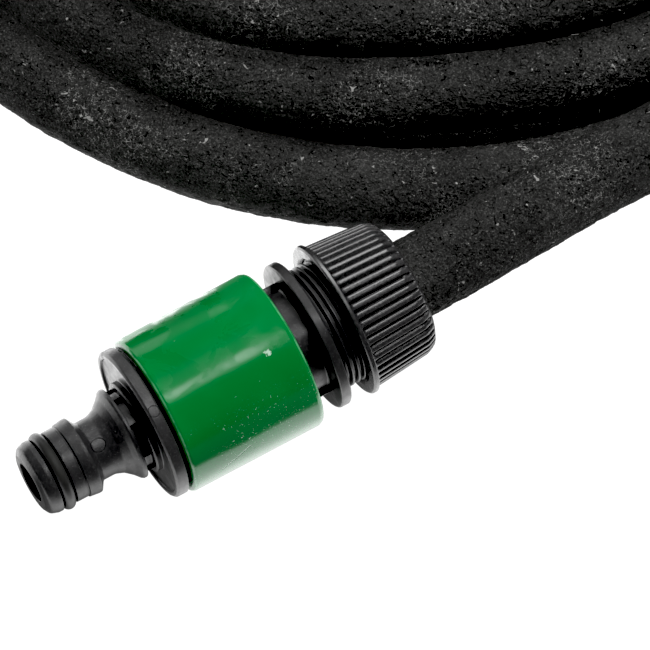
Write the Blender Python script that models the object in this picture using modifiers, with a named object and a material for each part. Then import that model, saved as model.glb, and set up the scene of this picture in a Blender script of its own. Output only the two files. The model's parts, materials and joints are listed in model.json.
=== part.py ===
"""Coiled soaker hose with a plug-in coupler and a quick connector at the inlet and a closed end stop.

The coil lies flat on the ground round a vertical axis and winds anticlockwise seen from above.
The origin is the middle of the bounding box's underside. The inlet's nose points to -X and -Y.

Lengths are millimetres and are turned into metres by MM where the geometry is made.
Stations s run along a fitting's own axis (its local Z), from its free end towards the hose.
The inlet's s = 0 is the front face of the coupler's nose; the end stop's is its closed face.
A profile is a list of (s, r) stations, r being the radius. Front means towards lower s.
"""
import math

import bmesh
import bpy
import numpy as np
from mathutils import Matrix, Vector

MM = 0.001

# ---------------------------------------------------------------- driving dimensions
# Hose
HOSE_R = 8.9               # corner radius of the eight-sided section
HOSE_WALL = 2.9
FLOOR_Z = 8.45             # height of the hose's centre line where it lies on the ground
TURN_GAP = 18.35           # least distance between the centre lines of neighbouring turns
STEPS_PER_TURN = 20
HOSE_START = 70.0          # station of the hose's cut face, in the inlet's stations
INLET_STRAIGHT_END = 92.0  # station where the hose may begin to bend
END_STRAIGHT = 22.0        # length of straight hose in the end stop
# Inlet fitting, in the coil's own frame
NOSE = (-79.8, -201.1, 15.55)
AXIS = (0.8643, 0.4996, 0.0590)
RIB_DIR = (-0.4622, 0.7485, 0.4322)     # the direction in which the barrel's two ribs stand
END_RIB_DIR = (0.25, 0.1, 1.0)          # the same for the end stop
# Coupler
BORE_R = 4.34
NOSE_R = 8.05
ORING_MEAN_R = 7.35
ORING_SECTION_R = 1.25
ORING_S = 5.05
GROOVE_R = 5.9
LAND_R = 7.95              # between groove and ridge
RIDGE_R = 8.45
NECK_R = 6.55
COLLAR_R = 10.1
FLANGE_R = 16.7
COUPLER_MID = 26.4
# Connector
SOCKET_R = 8.9
SOCKET_OUTER_R = 11.8
SOCKET_RIM_R = 15.3
SOCKET_REAR = 57.9
SLEEVE_FRONT, SLEEVE_REAR = 28.6, 59.4
SLEEVE_FRONT_R, SLEEVE_REAR_R = 17.2, 17.5
SLEEVE_BORE_R = 15.8
CAM_FRONT, CAM_REAR, CAM_REAR_R = 35.6, 40.5, 12.3
CAM_SLOPE = 0.444          # fall in radius of the sleeve's cam cone per millimetre rearwards
CLAW_FRONT, CLAW_REAR = 36.3, 38.9
CLAW_COUNT = 3
CLAW_INNER_R = 7.1
CLAW_HALF_WIDTH = 2.5
CLAW_CLEARANCE = 0.55      # between the claws' outer faces and the cam cone, measured radially
# Barrel
BARREL_FRONT = 55.7
BARREL_R = 11.1
FLANGE2_FRONT, FLANGE2_REAR, FLANGE2_R = 64.0, 66.3, 16.4
THREAD_ROOT_R, THREAD_CREST_R, THREAD_PITCH = 12.3, 13.5, 1.4
TUBE_END = 80.0
POCKET_FLOOR = 69.0
POCKET_R = 11.4            # bore of the thread tube round the barb
BARB_R, BARB_VALLEY_R, BARB_BORE_R, BARB_END = 5.2, 4.7, 3.6, 89.0
END_BORE_R = 3.0           # bore of the end stop's barb
# Clamp ring and nut
RING_FRONT, RING_REAR = 77.5, 86.3
RING_SHOULDER = 84.7
RING_BODY_R, RING_SHOULDER_R, RING_BORE_R = 10.95, 12.8, 9.15
NUT_FRONT, NUT_REAR = 71.3, 88.3
NUT_COLLAR_R, NUT_RIBS = 17.0, 50
NUT_BORE_R, NUT_BORE_END, NUT_MOUTH_R = 13.95, 86.7, 9.5
# The end stop is the same fitting from its flange on, closed in front
END_SHIFT = 58.0
# The object's origin in the coil's own frame
ORIGIN = (2.0235, -30.9995, 0.1446)


# ---------------------------------------------------------------- scene and materials
for old in list(bpy.data.objects):
    bpy.data.objects.remove(old, do_unlink=True)
for old in list(bpy.data.collections):
    bpy.data.collections.remove(old)

PARTS = bpy.data.collections.new("soaker_hose_parts")
CUTTERS = bpy.data.collections.new("cutters")
bpy.context.scene.collection.children.link(PARTS)
bpy.context.scene.collection.children.link(CUTTERS)
CUTTERS.hide_render = True


def material(name, colour, roughness):
    mat = bpy.data.materials.new(name)
    mat.use_nodes = True
    shader = mat.node_tree.nodes["Principled BSDF"]
    shader.inputs["Base Color"].default_value = (*colour, 1)
    shader.inputs["Roughness"].default_value = roughness
    mat.diffuse_color = (*colour, 1)
    return mat


def black(name):
    """Black plastic; each moulding has its own."""
    return material(name, colour=(0.03, 0.03, 0.032), roughness=0.38)


RUBBER = material("porous_rubber", colour=(0.022, 0.022, 0.023), roughness=0.85)
GREEN = material("green_plastic", colour=(0.0, 0.21, 0.042), roughness=0.25)
SEAL = material("seal_rubber", colour=(0.018, 0.018, 0.018), roughness=0.55)
STEEL = material("spring_steel", colour=(0.55, 0.56, 0.57), roughness=0.3)


# ---------------------------------------------------------------- building helpers
def frame_from(origin, axis, side):
    """A matrix whose Z runs along the fitting and whose X is the side direction made square to it."""
    z = Vector(axis).normalized()
    x = Vector(side)
    x = (x - z * x.dot(z)).normalized()
    y = z.cross(x)
    place = (Vector(origin) - Vector(ORIGIN)) * MM
    return Matrix((
        (x.x, y.x, z.x, place.x),
        (x.y, y.y, z.y, place.y),
        (x.z, y.z, z.z, place.z),
        (0, 0, 0, 1),
    ))


def turned(frame, angle):
    """The frame turned about its own axis."""
    return frame @ Matrix.Rotation(angle, 4, "Z")


def add_object(name, data, frame, mat=None):
    """Place a part, or a cutter if it has no material."""
    obj = bpy.data.objects.new(name, data)
    (PARTS if mat else CUTTERS).objects.link(obj)
    obj.matrix_world = frame
    if mat:
        data.materials.append(mat)
    else:
        obj.hide_render = True
        obj.display_type = "WIRE"
    return obj


def spin(name, profile, closed, steps, frame, mat=None):
    """Turn a profile about the fitting's axis. It runs so that the material's outside is
    passed from rear to front; an open one starts and ends on the axis."""
    count = len(profile)
    edges = [(i, i + 1) for i in range(count - 1)]
    if closed:
        edges.append((count - 1, 0))
    mesh = bpy.data.meshes.new(name)
    mesh.from_pydata([(r * MM, 0, s * MM) for s, r in profile], edges, [])
    obj = add_object(name, mesh, frame, mat)
    screw = obj.modifiers.new("turn", "SCREW")
    screw.axis = "Z"
    screw.angle = 2 * math.pi
    screw.steps = screw.render_steps = steps
    screw.use_merge_vertices = True
    screw.merge_threshold = 1e-6
    screw.use_smooth_shade = True
    return obj


def lathe(name, outer, inner, steps, frame, mat):
    """A turned piece with a hole through it. Both profiles run rearwards."""
    return spin(name, outer[::-1] + inner, True, steps, frame, mat)


def box(name, centre, size, frame):
    """A block for cutting or joining, given in the fitting's frame."""
    mesh = bpy.data.meshes.new(name)
    bm = bmesh.new()
    bmesh.ops.create_cube(bm, size=1.0)
    bmesh.ops.scale(bm, vec=Vector(size) * MM, verts=bm.verts)
    bmesh.ops.translate(bm, vec=Vector(centre) * MM, verts=bm.verts)
    bm.to_mesh(mesh)
    bm.free()
    return add_object(name, mesh, frame)


def rings(name, loops, frame, mat=None):
    """A skin over equally long loops of points, with flat ends."""
    n = len(loops[0])
    points = [Vector(p) * MM for loop in loops for p in loop]
    faces = []
    for k in range(len(loops) - 1):
        for i in range(n):
            j = (i + 1) % n
            faces.append((k * n + i, k * n + j, (k + 1) * n + j, (k + 1) * n + i))
    faces.append(tuple(range(n - 1, -1, -1)))
    faces.append(tuple(range((len(loops) - 1) * n, len(loops) * n)))
    mesh = bpy.data.meshes.new(name)
    mesh.from_pydata(points, [], faces)
    bm = bmesh.new()
    bm.from_mesh(mesh)
    bmesh.ops.recalc_face_normals(bm, faces=bm.faces)
    bm.to_mesh(mesh)
    bm.free()
    return add_object(name, mesh, frame, mat)


def poly_curve(name, points, radius, bevel_resolution, frame, mat):
    """A round-bevelled curve with straight pieces between its points."""
    curve = bpy.data.curves.new(name, "CURVE")
    curve.dimensions = "3D"
    curve.bevel_depth = radius * MM
    curve.bevel_resolution = bevel_resolution
    spline = curve.splines.new("POLY")
    spline.points.add(len(points) - 1)
    for point, place in zip(spline.points, points):
        point.co = (*(Vector(place) * MM), 1)
    return add_object(name, curve, frame, mat)


def combine(obj, other, operation):
    mod = obj.modifiers.new(operation.lower() + "_" + other.name, "BOOLEAN")
    mod.operation = operation
    mod.solver = "EXACT"
    mod.object = other


# ---------------------------------------------------------------- the path of the hose
COIL_START_DEG = -62.0
# Degrees past the coil's start, radius, height of the centre line
COIL_STATIONS = (
    # bottom layer, winding inwards
    (0, 134.8, 25.9), (90, 136.5, 23.5), (180, 137.0, 17.0), (245, 131.8, 11.2),
    (290, 128.0, FLOOR_Z), (345, 127.0, FLOOR_Z), (400, 124.7, FLOOR_Z), (660, 109.0, FLOOR_Z),
    (720, 107.6, FLOOR_Z), (1060, 90.2, FLOOR_Z), (1300, 79.0, FLOOR_Z),
    # second layer, winding back out
    (1400, 75.5, 14.0), (1470, 77.0, 22.5), (1530, 81.0, 25.0), (1800, 96.0, 25.0),
    (2075, 118.0, 25.0), (2095, 118.3, 25.3), (2110, 117.0, 25.5), (2120, 116.2, 25.7),
    (2130, 114.4, 25.9), (2140, 113.0, 26.1), (2155, 114.4, 26.1), (2175, 114.4, 27.6),
    # part of a third layer, winding inwards
    (2225, 113.0, 32.0), (2290, 110.5, 38.0), (2345, 110.0, 42.0), (2440, 111.5, 43.4),
    (2463, 111.0, 43.4), (2474, 109.0, 42.7), (2487, 105.6, 41.5), (2500, 104.2, 41.5),
    (2515, 104.2, 41.5), (2540, 104.6, 41.4), (2600, 99.0, 41.2), (2680, 92.0, 41.0),
)
COIL_JOIN = 4              # index of the coil point, one per degree, where the inlet run joins
INLET_RUN_END = 160.0      # station where the inlet run ends
LIFT_START, LIFT_LENGTH = 96.0, 32.0    # where the inlet run eases off the fitting's axis
LIFT = (0.0, 0.55, 1.0)                 # how far it does so
INLET_HANDLE = 8           # reach of the Bezier handles between inlet run and coil
# Free end: angles are counted from the end of the coil
END_PLACE_DEG, END_PLACE_R, END_Z = 112, 40, 17.6
END_HEADING_DEG = 230
DROP_HANDLES = 55, 50      # reach of the Bezier handles at the top and foot of the drop
SAMPLE_STEP = 6.0          # spacing of the path's points while it settles

# Settling
ROUNDS = 400
REFRESH = 8                # rounds between searches for neighbouring points
SEARCH_MARGIN = 4
HELD_INLET, HELD_END = 80, 30   # lengths of hose held still
RAMP = 12                  # points over which a held end becomes free
NEIGHBOUR_RUN = 60         # points closer than this along the hose don't push each other
PUSH_DIVISOR = 0.75        # below 1, the push apart overshoots
STIFFNESS = 0.5            # share of the bending taken out each round
RETURN = 0.004             # share of the way back to the drawn path each round

# Corner points of the solid
PLANES_FROM = 8            # radial planes start this far behind the inlet's straight piece
FREE_END = 150.0           # length at the end that is divided by length, not by planes
FREE_END_STEP = 20.0


def monotone_curve(knots, values, x):
    """Cubic through the knots that doesn't overshoot between them."""
    h = np.diff(knots)
    d = np.diff(values) / h
    m = np.zeros(len(knots))
    m[1:-1] = np.where(d[:-1] * d[1:] > 0, 2 * d[:-1] * d[1:] / (d[:-1] + d[1:] + 1e-12), 0)
    m[0], m[-1] = d[0], d[-1]
    k = np.clip(np.searchsorted(knots, x) - 1, 0, len(h) - 1)
    t = (x - knots[k]) / h[k]
    return (
        (1 + 2 * t) * (1 - t) ** 2 * values[k] + t * (1 - t) ** 2 * h[k] * m[k]
        + t * t * (3 - 2 * t) * values[k + 1] + t * t * (t - 1) * h[k] * m[k + 1]
    )


def bezier(p0, p1, p2, p3, count):
    t = np.linspace(0, 1, count)[:, None]
    return (1 - t) ** 3 * p0 + 3 * (1 - t) ** 2 * t * p1 + 3 * (1 - t) * t * t * p2 + t ** 3 * p3


def run_lengths(path):
    """Distance along the path to each of its points."""
    return np.concatenate([[0], np.cumsum(np.linalg.norm(np.diff(path, axis=0), axis=1))])


def along(path, run, s):
    """The place or places at distance s along the path."""
    return np.stack([np.interp(s, run, path[:, k]) for k in range(3)], -1)


def coil_line():
    degrees, radii, heights = np.array(COIL_STATIONS, float).T
    knots = COIL_START_DEG + degrees
    theta = np.arange(knots[0], knots[-1], 1.0)
    radius = monotone_curve(knots, radii, theta)
    height = monotone_curve(knots, heights, theta)
    theta = np.radians(theta)
    return np.stack([radius * np.cos(theta), radius * np.sin(theta), height], 1)


def inlet_line(axis):
    """From the cut face straight out of the fitting, then easing upwards."""
    reach = np.arange(HOSE_START, INLET_RUN_END + 0.1, 2.0)
    lift = np.clip((reach - LIFT_START) / LIFT_LENGTH, 0, 1)
    lift = lift * lift * (3 - 2 * lift)
    return np.array([np.array(NOSE) + axis * s for s in reach]) + lift[:, None] * np.array(LIFT)


def drawn_path():
    """The whole centre line before it settles, and the start and direction of its last straight."""
    axis = np.array(AXIS) / np.linalg.norm(AXIS)
    inlet = inlet_line(axis)
    coil = coil_line()
    join, last = coil[COIL_JOIN], coil[-1]
    into = coil[COIL_JOIN + 1] - join
    into = into / np.linalg.norm(into)
    leave = last - coil[-2]
    leave = leave / np.linalg.norm(leave)
    coil_end = math.radians(COIL_START_DEG + COIL_STATIONS[-1][0])

    def out_at(degrees):
        angle = coil_end + math.radians(degrees)
        return np.array([math.cos(angle), math.sin(angle), 0.0])

    end_start = out_at(END_PLACE_DEG) * END_PLACE_R + np.array([0, 0, END_Z])
    end_dir = out_at(END_HEADING_DEG)
    top, foot = DROP_HANDLES
    drop = bezier(last, last + leave * top, end_start - end_dir * foot, end_start, 60)
    straight = np.array([end_start + end_dir * s for s in np.arange(0, END_STRAIGHT + 0.1, 2)])
    bridge = bezier(inlet[-1], inlet[-1] + axis * INLET_HANDLE, join - into * INLET_HANDLE, join, 8)
    path = np.concatenate([inlet, bridge[1:], coil[COIL_JOIN + 1:], drop[1:], straight[1:]])
    return path, end_start, end_dir


def settle(path, step):
    """Let the turns rest against one another and on the ground, as heavy hose does."""
    target = path.copy()
    count = len(path)
    held_inlet, held_end = math.ceil(HELD_INLET / step), math.ceil(HELD_END / step)
    ramp = np.arange(1, RAMP + 1) / RAMP
    free = np.ones(count)
    free[:held_inlet] = 0
    free[-held_end:] = 0
    free[held_inlet:held_inlet + RAMP] = ramp
    free[-held_end - RAMP:-held_end] = ramp[::-1]
    loose = free > 0
    free = free[:, None]
    apart = int(NEIGHBOUR_RUN / step)
    number = np.arange(count)
    for round_no in range(ROUNDS):
        if round_no % REFRESH == 0:
            distance = np.sqrt(((path[:, None, :] - path[None, :, :]) ** 2).sum(2))
            near = distance < TURN_GAP + SEARCH_MARGIN
            first, second = np.where(near & (number[None, :] - number[:, None] > apart))
        # push neighbouring turns apart
        between = path[first] - path[second]
        distance = np.linalg.norm(between, axis=1)
        push = np.clip(TURN_GAP - distance, 0, None)
        hit = push > 0
        part = between[hit] / distance[hit, None] * push[hit, None] * 0.5
        move = np.zeros_like(path)
        hits = np.zeros(count)
        for members, share in ((first[hit], part), (second[hit], -part)):
            np.add.at(move, members, share)
            np.add.at(hits, members, 1)
        move /= np.maximum(hits, 1)[:, None] * PUSH_DIVISOR
        path = path + move * free
        # smooth the bends
        bend = np.zeros_like(path)
        bend[2:-2] = (-path[4:] + 4 * path[3:-1] - 6 * path[2:-2] + 4 * path[1:-3] - path[:-4]) / 16.0
        path = path + bend * free * STIFFNESS
        # draw back to the target and stay above the ground
        path = path + (target - path) * RETURN * free
        path[loose, 2] = np.maximum(path[loose, 2], FLOOR_Z)
    return path


def hose_path():
    path, end_start, end_dir = drawn_path()
    run = run_lengths(path)
    count = int(round(run[-1] / SAMPLE_STEP)) + 1
    path = along(path, run, np.linspace(0, run[-1], count))
    return settle(path, run[-1] / (count - 1)), end_start, end_dir


def corner_points(path):
    """The solid's corners: the straight ends, and elsewhere the crossings of evenly spaced
    radial planes, so that neighbouring turns bend at the same angles and stay parallel."""
    angles = np.degrees(np.unwrap(np.arctan2(path[:, 1], path[:, 0])))
    run = run_lengths(path)
    plane_deg = 360 / STEPS_PER_TURN
    straight = INLET_STRAIGHT_END - HOSE_START
    first = math.ceil(np.interp(straight + PLANES_FROM, run, angles) / plane_deg)
    last = math.floor(np.interp(run[-1] - FREE_END, run, angles) / plane_deg)
    places = [0.0, straight]
    places += [np.interp(k * plane_deg, angles, run) for k in range(first, last + 1)]
    last_run = np.interp(last * plane_deg, angles, run)
    stretch = run[-1] - END_STRAIGHT - last_run
    pieces = max(1, round(stretch / FREE_END_STEP))
    places += [last_run + stretch * k / pieces for k in range(1, pieces + 1)]
    places.append(run[-1])
    return along(path, run, np.array(places))


def soaker_hose(path):
    points = [Vector(p) - Vector(ORIGIN) for p in corner_points(path)]
    hose = poly_curve("soaker_hose", points, HOSE_R, 2, Matrix.Identity(4), RUBBER)
    hose.data.twist_mode = "Z_UP"
    hose.data.use_fill_caps = False
    for point in hose.data.splines[0].points:
        point.tilt = math.pi / 8    # half a side of the octagon
    wall = hose.modifiers.new("wall", "SOLIDIFY")
    wall.thickness = HOSE_WALL * MM
    wall.offset = -1
    wall.use_even_offset = True


# ---------------------------------------------------------------- coupler
# Outer profile from the nose to the middle flange
COUPLER_FRONT = [
    (0, 6.4), (0.45, 7.3), (1.9, NOSE_R), (3.4, NOSE_R), (3.4, GROOVE_R), (6.7, GROOVE_R),
    (6.7, LAND_R), (9.2, LAND_R), (9.5, 8.2), (11.5, RIDGE_R), (12.2, RIDGE_R), (13.4, NECK_R),
    (16.5, NECK_R), (18.2, 7.25), (19.9, 8.7), (21.2, COLLAR_R), (22.2, COLLAR_R), (22.2, 9.3),
    (23.0, 9.3), (23.0, COLLAR_R), (24.9, COLLAR_R), (24.9, 16.3), (25.4, FLANGE_R),
]
# The hidden rear half, plainer, with its stations counted from its own nose
COUPLER_REAR = [
    (0, 6.4), (1.9, NOSE_R), (3.4, NOSE_R), (3.4, GROOVE_R), (6.7, GROOVE_R), (6.7, LAND_R),
    (9.2, LAND_R), (11.5, RIDGE_R), (12.2, RIDGE_R), (13.4, NECK_R), (16.5, NECK_R), (19.9, 8.7),
    (21.2, COLLAR_R), (24.9, COLLAR_R), (24.9, FLANGE_R),
]
COUPLER_LENGTH = 2 * COUPLER_MID


def coupler_body(frame):
    outer = COUPLER_FRONT + [(COUPLER_LENGTH - s, r) for s, r in reversed(COUPLER_REAR)]
    inner = [(0, BORE_R), (COUPLER_LENGTH, BORE_R)]
    lathe("coupler_body", outer, inner, 20, frame, black("coupler_black"))


def oring(name, middle, frame):
    """An eight-sided ring section, from its foremost outer corner over the outside and back."""
    section = [
        (middle - ORING_SECTION_R * math.cos(a), ORING_MEAN_R + ORING_SECTION_R * math.sin(a))
        for a in (math.radians(22.5 + 45 * k) for k in range(8))
    ]
    lathe(name, section[:4], section[:3:-1], 24, frame, SEAL)


def flow_reducer(frame):
    """A cage in the nose's bore with two crossed vanes, and the disc it holds."""
    outer = [(3.2, 3.9), (3.6, 4.1), (10.0, 4.1)]
    inner = [(3.2, 3.1), (8.6, 3.1), (8.6, 1.5), (10.0, 1.5)]
    cage = lathe("flow_reducer_cage", outer, inner, 20, frame, black("reducer_black"))
    for n in range(2):
        vane_frame = turned(frame, n * math.pi / 2 + 0.3)
        vane = box(f"reducer_vane_{n}", (0, 0, 4.9), (7.0, 0.8, 2.0), vane_frame)
        combine(cage, vane, "UNION")
    lathe("flow_reducer_disc", [(6.5, 2.85), (8.3, 2.85)], [(6.5, 0.6), (8.3, 0.6)], 16, frame, SEAL)


# ---------------------------------------------------------------- connector
def cam_radius(s):
    return CAM_REAR_R + CAM_SLOPE * (CAM_REAR - s)


def connector_socket(frame):
    """The socket, with a window for each claw."""
    outer = [
        (29.2, 14.9), (29.6, SOCKET_RIM_R), (30.9, SOCKET_RIM_R), (30.9, SOCKET_OUTER_R),
        (SOCKET_REAR, SOCKET_OUTER_R),
    ]
    inner = [
        (29.2, 11.0), (32.2, 10.7), (34.6, SOCKET_R), (53.6, SOCKET_R), (53.6, 10.2),
        (SOCKET_REAR, 10.2),
    ]
    socket = lathe("connector_socket", outer, inner, 24, frame, black("socket_black"))
    middle = (CLAW_FRONT + CLAW_REAR) / 2
    for n, claw_frame in enumerate(claw_frames(frame), 1):
        window = box(f"claw_window_{n}", (10.5, 0, middle), (6.0, 5.8, 3.3), claw_frame)
        combine(socket, window, "DIFFERENCE")


def claw_frames(frame):
    return [turned(frame, math.radians(30 + 360 / CLAW_COUNT * n)) for n in range(CLAW_COUNT)]


def locking_claws(frame):
    loops = []
    for s in (CLAW_FRONT, CLAW_REAR):
        top = cam_radius(s) - CLAW_CLEARANCE
        loops.append([
            (CLAW_INNER_R, -CLAW_HALF_WIDTH, s), (top, -CLAW_HALF_WIDTH, s),
            (top, CLAW_HALF_WIDTH, s), (CLAW_INNER_R, CLAW_HALF_WIDTH, s),
        ])
    for n, claw_frame in enumerate(claw_frames(frame), 1):
        rings(f"locking_claw_{n}", loops, claw_frame, black(f"claw_black_{n}"))


def release_sleeve(frame):
    outer = [
        (SLEEVE_FRONT, 16.6), (SLEEVE_FRONT + 0.7, SLEEVE_FRONT_R),
        (SLEEVE_REAR - 1.8, SLEEVE_REAR_R), (SLEEVE_REAR - 0.6, SLEEVE_REAR_R - 0.5),
        (SLEEVE_REAR, SLEEVE_REAR_R - 1.3),
    ]
    inner = [
        (SLEEVE_FRONT, SLEEVE_BORE_R), (35.4, SLEEVE_BORE_R), (CAM_FRONT, cam_radius(CAM_FRONT)),
        (CAM_REAR, CAM_REAR_R), (42.5, CAM_REAR_R), (42.5, SLEEVE_BORE_R),
        (SLEEVE_REAR, SLEEVE_BORE_R),
    ]
    lathe("release_sleeve", outer, inner, 32, frame, GREEN)


def sleeve_stop_ring(frame):
    outer, inner = [[(56.6, r), (SOCKET_REAR, r)] for r in (15.2, 12.1)]
    lathe("sleeve_stop_ring", outer, inner, 24, frame, black("stop_ring_black"))


def sleeve_spring(frame):
    turns, steps, radius, wire_r = 4.5, 12, 13.75, 0.6
    start, length = 43.5, 12.4
    total = int(turns * steps)
    points = []
    for k in range(total + 1):
        angle = 2 * math.pi * k / steps
        z = start + length * k / total
        points.append((radius * math.cos(angle), radius * math.sin(angle), z))
    spring = poly_curve("sleeve_spring", points, wire_r, 1, frame, STEEL)
    spring.data.use_fill_caps = True


# ---------------------------------------------------------------- hose end, at the inlet and end stop
# Stations are the inlet's; the end stop takes END_SHIFT off them.
BARREL_REAR = [
    # flange and thread tube
    (FLANGE2_FRONT, BARREL_R), (FLANGE2_FRONT, FLANGE2_R - 0.3), (FLANGE2_FRONT + 0.4, FLANGE2_R),
    (FLANGE2_REAR - 0.3, FLANGE2_R), (FLANGE2_REAR, FLANGE2_R - 0.3),
    (FLANGE2_REAR, THREAD_ROOT_R), (TUBE_END, THREAD_ROOT_R),
    # pocket between thread tube and barb
    (TUBE_END, POCKET_R), (POCKET_FLOOR, POCKET_R), (POCKET_FLOOR, 4.8), (77.0, 4.8),
    # the barb's teeth
    (77.0, BARB_R), (80.0, BARB_VALLEY_R), (80.0, BARB_R), (83.0, BARB_VALLEY_R), (83.0, BARB_R),
    (BARB_END, 4.1),
]
# s, radius at the ribs, radius in the grooves
NUT_STATIONS = (
    (NUT_FRONT, NUT_COLLAR_R, NUT_COLLAR_R), (72.4, NUT_COLLAR_R, NUT_COLLAR_R),
    (72.5, 16.1, 15.2), (86.2, 14.95, 14.1), (NUT_REAR, 13.0, 12.9),
)


def shifted(profile, shift):
    return [(s - shift, r) for s, r in profile]


def thread_ridge(name, start, frame):
    """A right-hand helical ridge that rises out of the tube at both ends."""
    turns, steps, run_in = 8, 12, 3
    half_root, half_top = 0.52, 0.22
    root = THREAD_ROOT_R - 0.45
    low = root + 0.12
    total = turns * steps
    loops = []
    for k in range(total + 1):
        angle = 2 * math.pi * k / steps
        z = start + THREAD_PITCH * k / steps
        rise = min(1.0, k / run_in, (total - k) / run_in)
        top = low + (THREAD_CREST_R - low) * rise
        section = ((root, -half_root), (top, -half_top), (top, half_top), (root, half_root))
        loops.append([(r * math.cos(angle), r * math.sin(angle), z + dz) for r, dz in section])
    return rings(name, loops, frame)


def barrel(name, shift, frame, front, inner, closed, mat):
    """The flange, thread tube and barb behind the given front, with two ribs and a thread."""
    profile = inner + (front + shifted(BARREL_REAR, shift))[::-1]
    obj = spin(name, profile, closed, 20, frame, mat)
    for side, letter in ((-1, "a"), (1, "b")):
        centre = (side * 11.45, 0, 61.55 - shift)
        combine(obj, box(f"{name}_rib_{letter}", centre, (1.9, 1.8, 5.5), frame), "UNION")
    combine(obj, thread_ridge(name + "_thread", 68.0 - shift, frame), "UNION")


def connector_barrel(frame):
    """The inlet's barrel: a spigot that enters the socket, and a through bore."""
    front = [(BARREL_FRONT, 9.6), (56.0, 9.9), (58.3, 9.9), (58.3, BARREL_R)]
    inner = [(BARREL_FRONT, BARB_BORE_R), (BARB_END, BARB_BORE_R)]
    barrel("connector_barrel", 0.0, frame, front, inner, True, black("barrel_black"))
    lathe("barrel_seal", [(54.0, 9.7), (55.3, 9.7)], [(54.0, 4.8), (55.3, 4.8)], 20, frame, SEAL)


def end_plug(frame):
    """The end stop's barrel: a closed front, and a blind bore from the barb."""
    front = [(0.0, 0.0), (0.0, 9.6), (0.5, 10.6), (1.2, BARREL_R)]
    inner = [(15.0, 0.0), (16.0, END_BORE_R), (BARB_END - END_SHIFT, END_BORE_R)]
    barrel("end_plug", END_SHIFT, frame, front, inner, False, black("end_plug_black"))


def clamp_ring(name, shift, frame, mat):
    """A split collet that the nut draws into the thread tube."""
    outer = [
        (RING_FRONT, 10.5), (79.0, RING_BODY_R), (RING_SHOULDER, RING_BODY_R),
        (RING_SHOULDER, RING_SHOULDER_R), (RING_REAR, RING_SHOULDER_R),
    ]
    inner = [(RING_FRONT, RING_BORE_R), (RING_REAR, RING_BORE_R)]
    ring = lathe(name, shifted(outer, shift), shifted(inner, shift), 24, frame, mat)
    split = box(name + "_split", (11, 0, 82 - shift), (6, 1.4, 12), turned(frame, 0.9))
    combine(ring, split, "DIFFERENCE")


def ribbed_nut(name, shift, frame, mat):
    loops = []
    for s, rib, groove in NUT_STATIONS:
        loop = []
        for k in range(2 * NUT_RIBS):
            r = groove if k % 2 else rib
            angle = math.pi * k / NUT_RIBS
            loop.append((r * math.cos(angle), r * math.sin(angle), s - shift))
        loops.append(loop)
    nut = rings(name, loops, frame, mat)
    # solid cutter, from the axis at the rear round to the axis in front
    bore = [
        (90, 0.0), (90, 11.5), (87.4, NUT_MOUTH_R), (NUT_BORE_END, NUT_MOUTH_R),
        (NUT_BORE_END, NUT_BORE_R), (60, NUT_BORE_R), (60, 0.0),
    ]
    cutter = spin(name + "_bore", shifted(bore, shift), False, 24, frame)
    combine(nut, cutter, "DIFFERENCE")


# ---------------------------------------------------------------- assembly
hose_centre, end_start, end_dir = hose_path()
soaker_hose(hose_centre)

INLET = frame_from(NOSE, AXIS, RIB_DIR)
coupler_body(INLET)
oring("coupler_oring_front", ORING_S, INLET)
oring("coupler_oring_rear", COUPLER_LENGTH - ORING_S, INLET)
flow_reducer(INLET)
connector_socket(INLET)
release_sleeve(INLET)
locking_claws(INLET)
sleeve_stop_ring(INLET)
sleeve_spring(INLET)
connector_barrel(INLET)
clamp_ring("clamp_ring_inlet", 0.0, INLET, black("clamp_ring_black"))
ribbed_nut("ribbed_nut_inlet", 0.0, INLET, black("nut_black"))

end_tip = end_start + end_dir * (END_STRAIGHT + HOSE_START - END_SHIFT)
END = frame_from(end_tip, -end_dir, END_RIB_DIR)
end_plug(END)
clamp_ring("clamp_ring_end", END_SHIFT, END, black("clamp_ring_end_black"))
ribbed_nut("ribbed_nut_end", END_SHIFT, END, black("nut_end_black"))
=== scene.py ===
# A porous soaker hose coiled flat on a pale floor. Its inlet end carries a turned coupler, a green
# release sleeve, a barrel and a ribbed nut; its far end carries a closed plug and a second nut.
# The floor is z = 0 with +Z up, and the camera looks down from the -Y side.
# Lengths are in millimetres, turned into metres by MM. Each fitting has its own frame: local z runs
# along its axis, from the outer tip towards the hose.
import json
import math
from functools import cached_property
from itertools import product

import bmesh
import bpy
import numpy as np
from mathutils import Matrix, Vector

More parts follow.
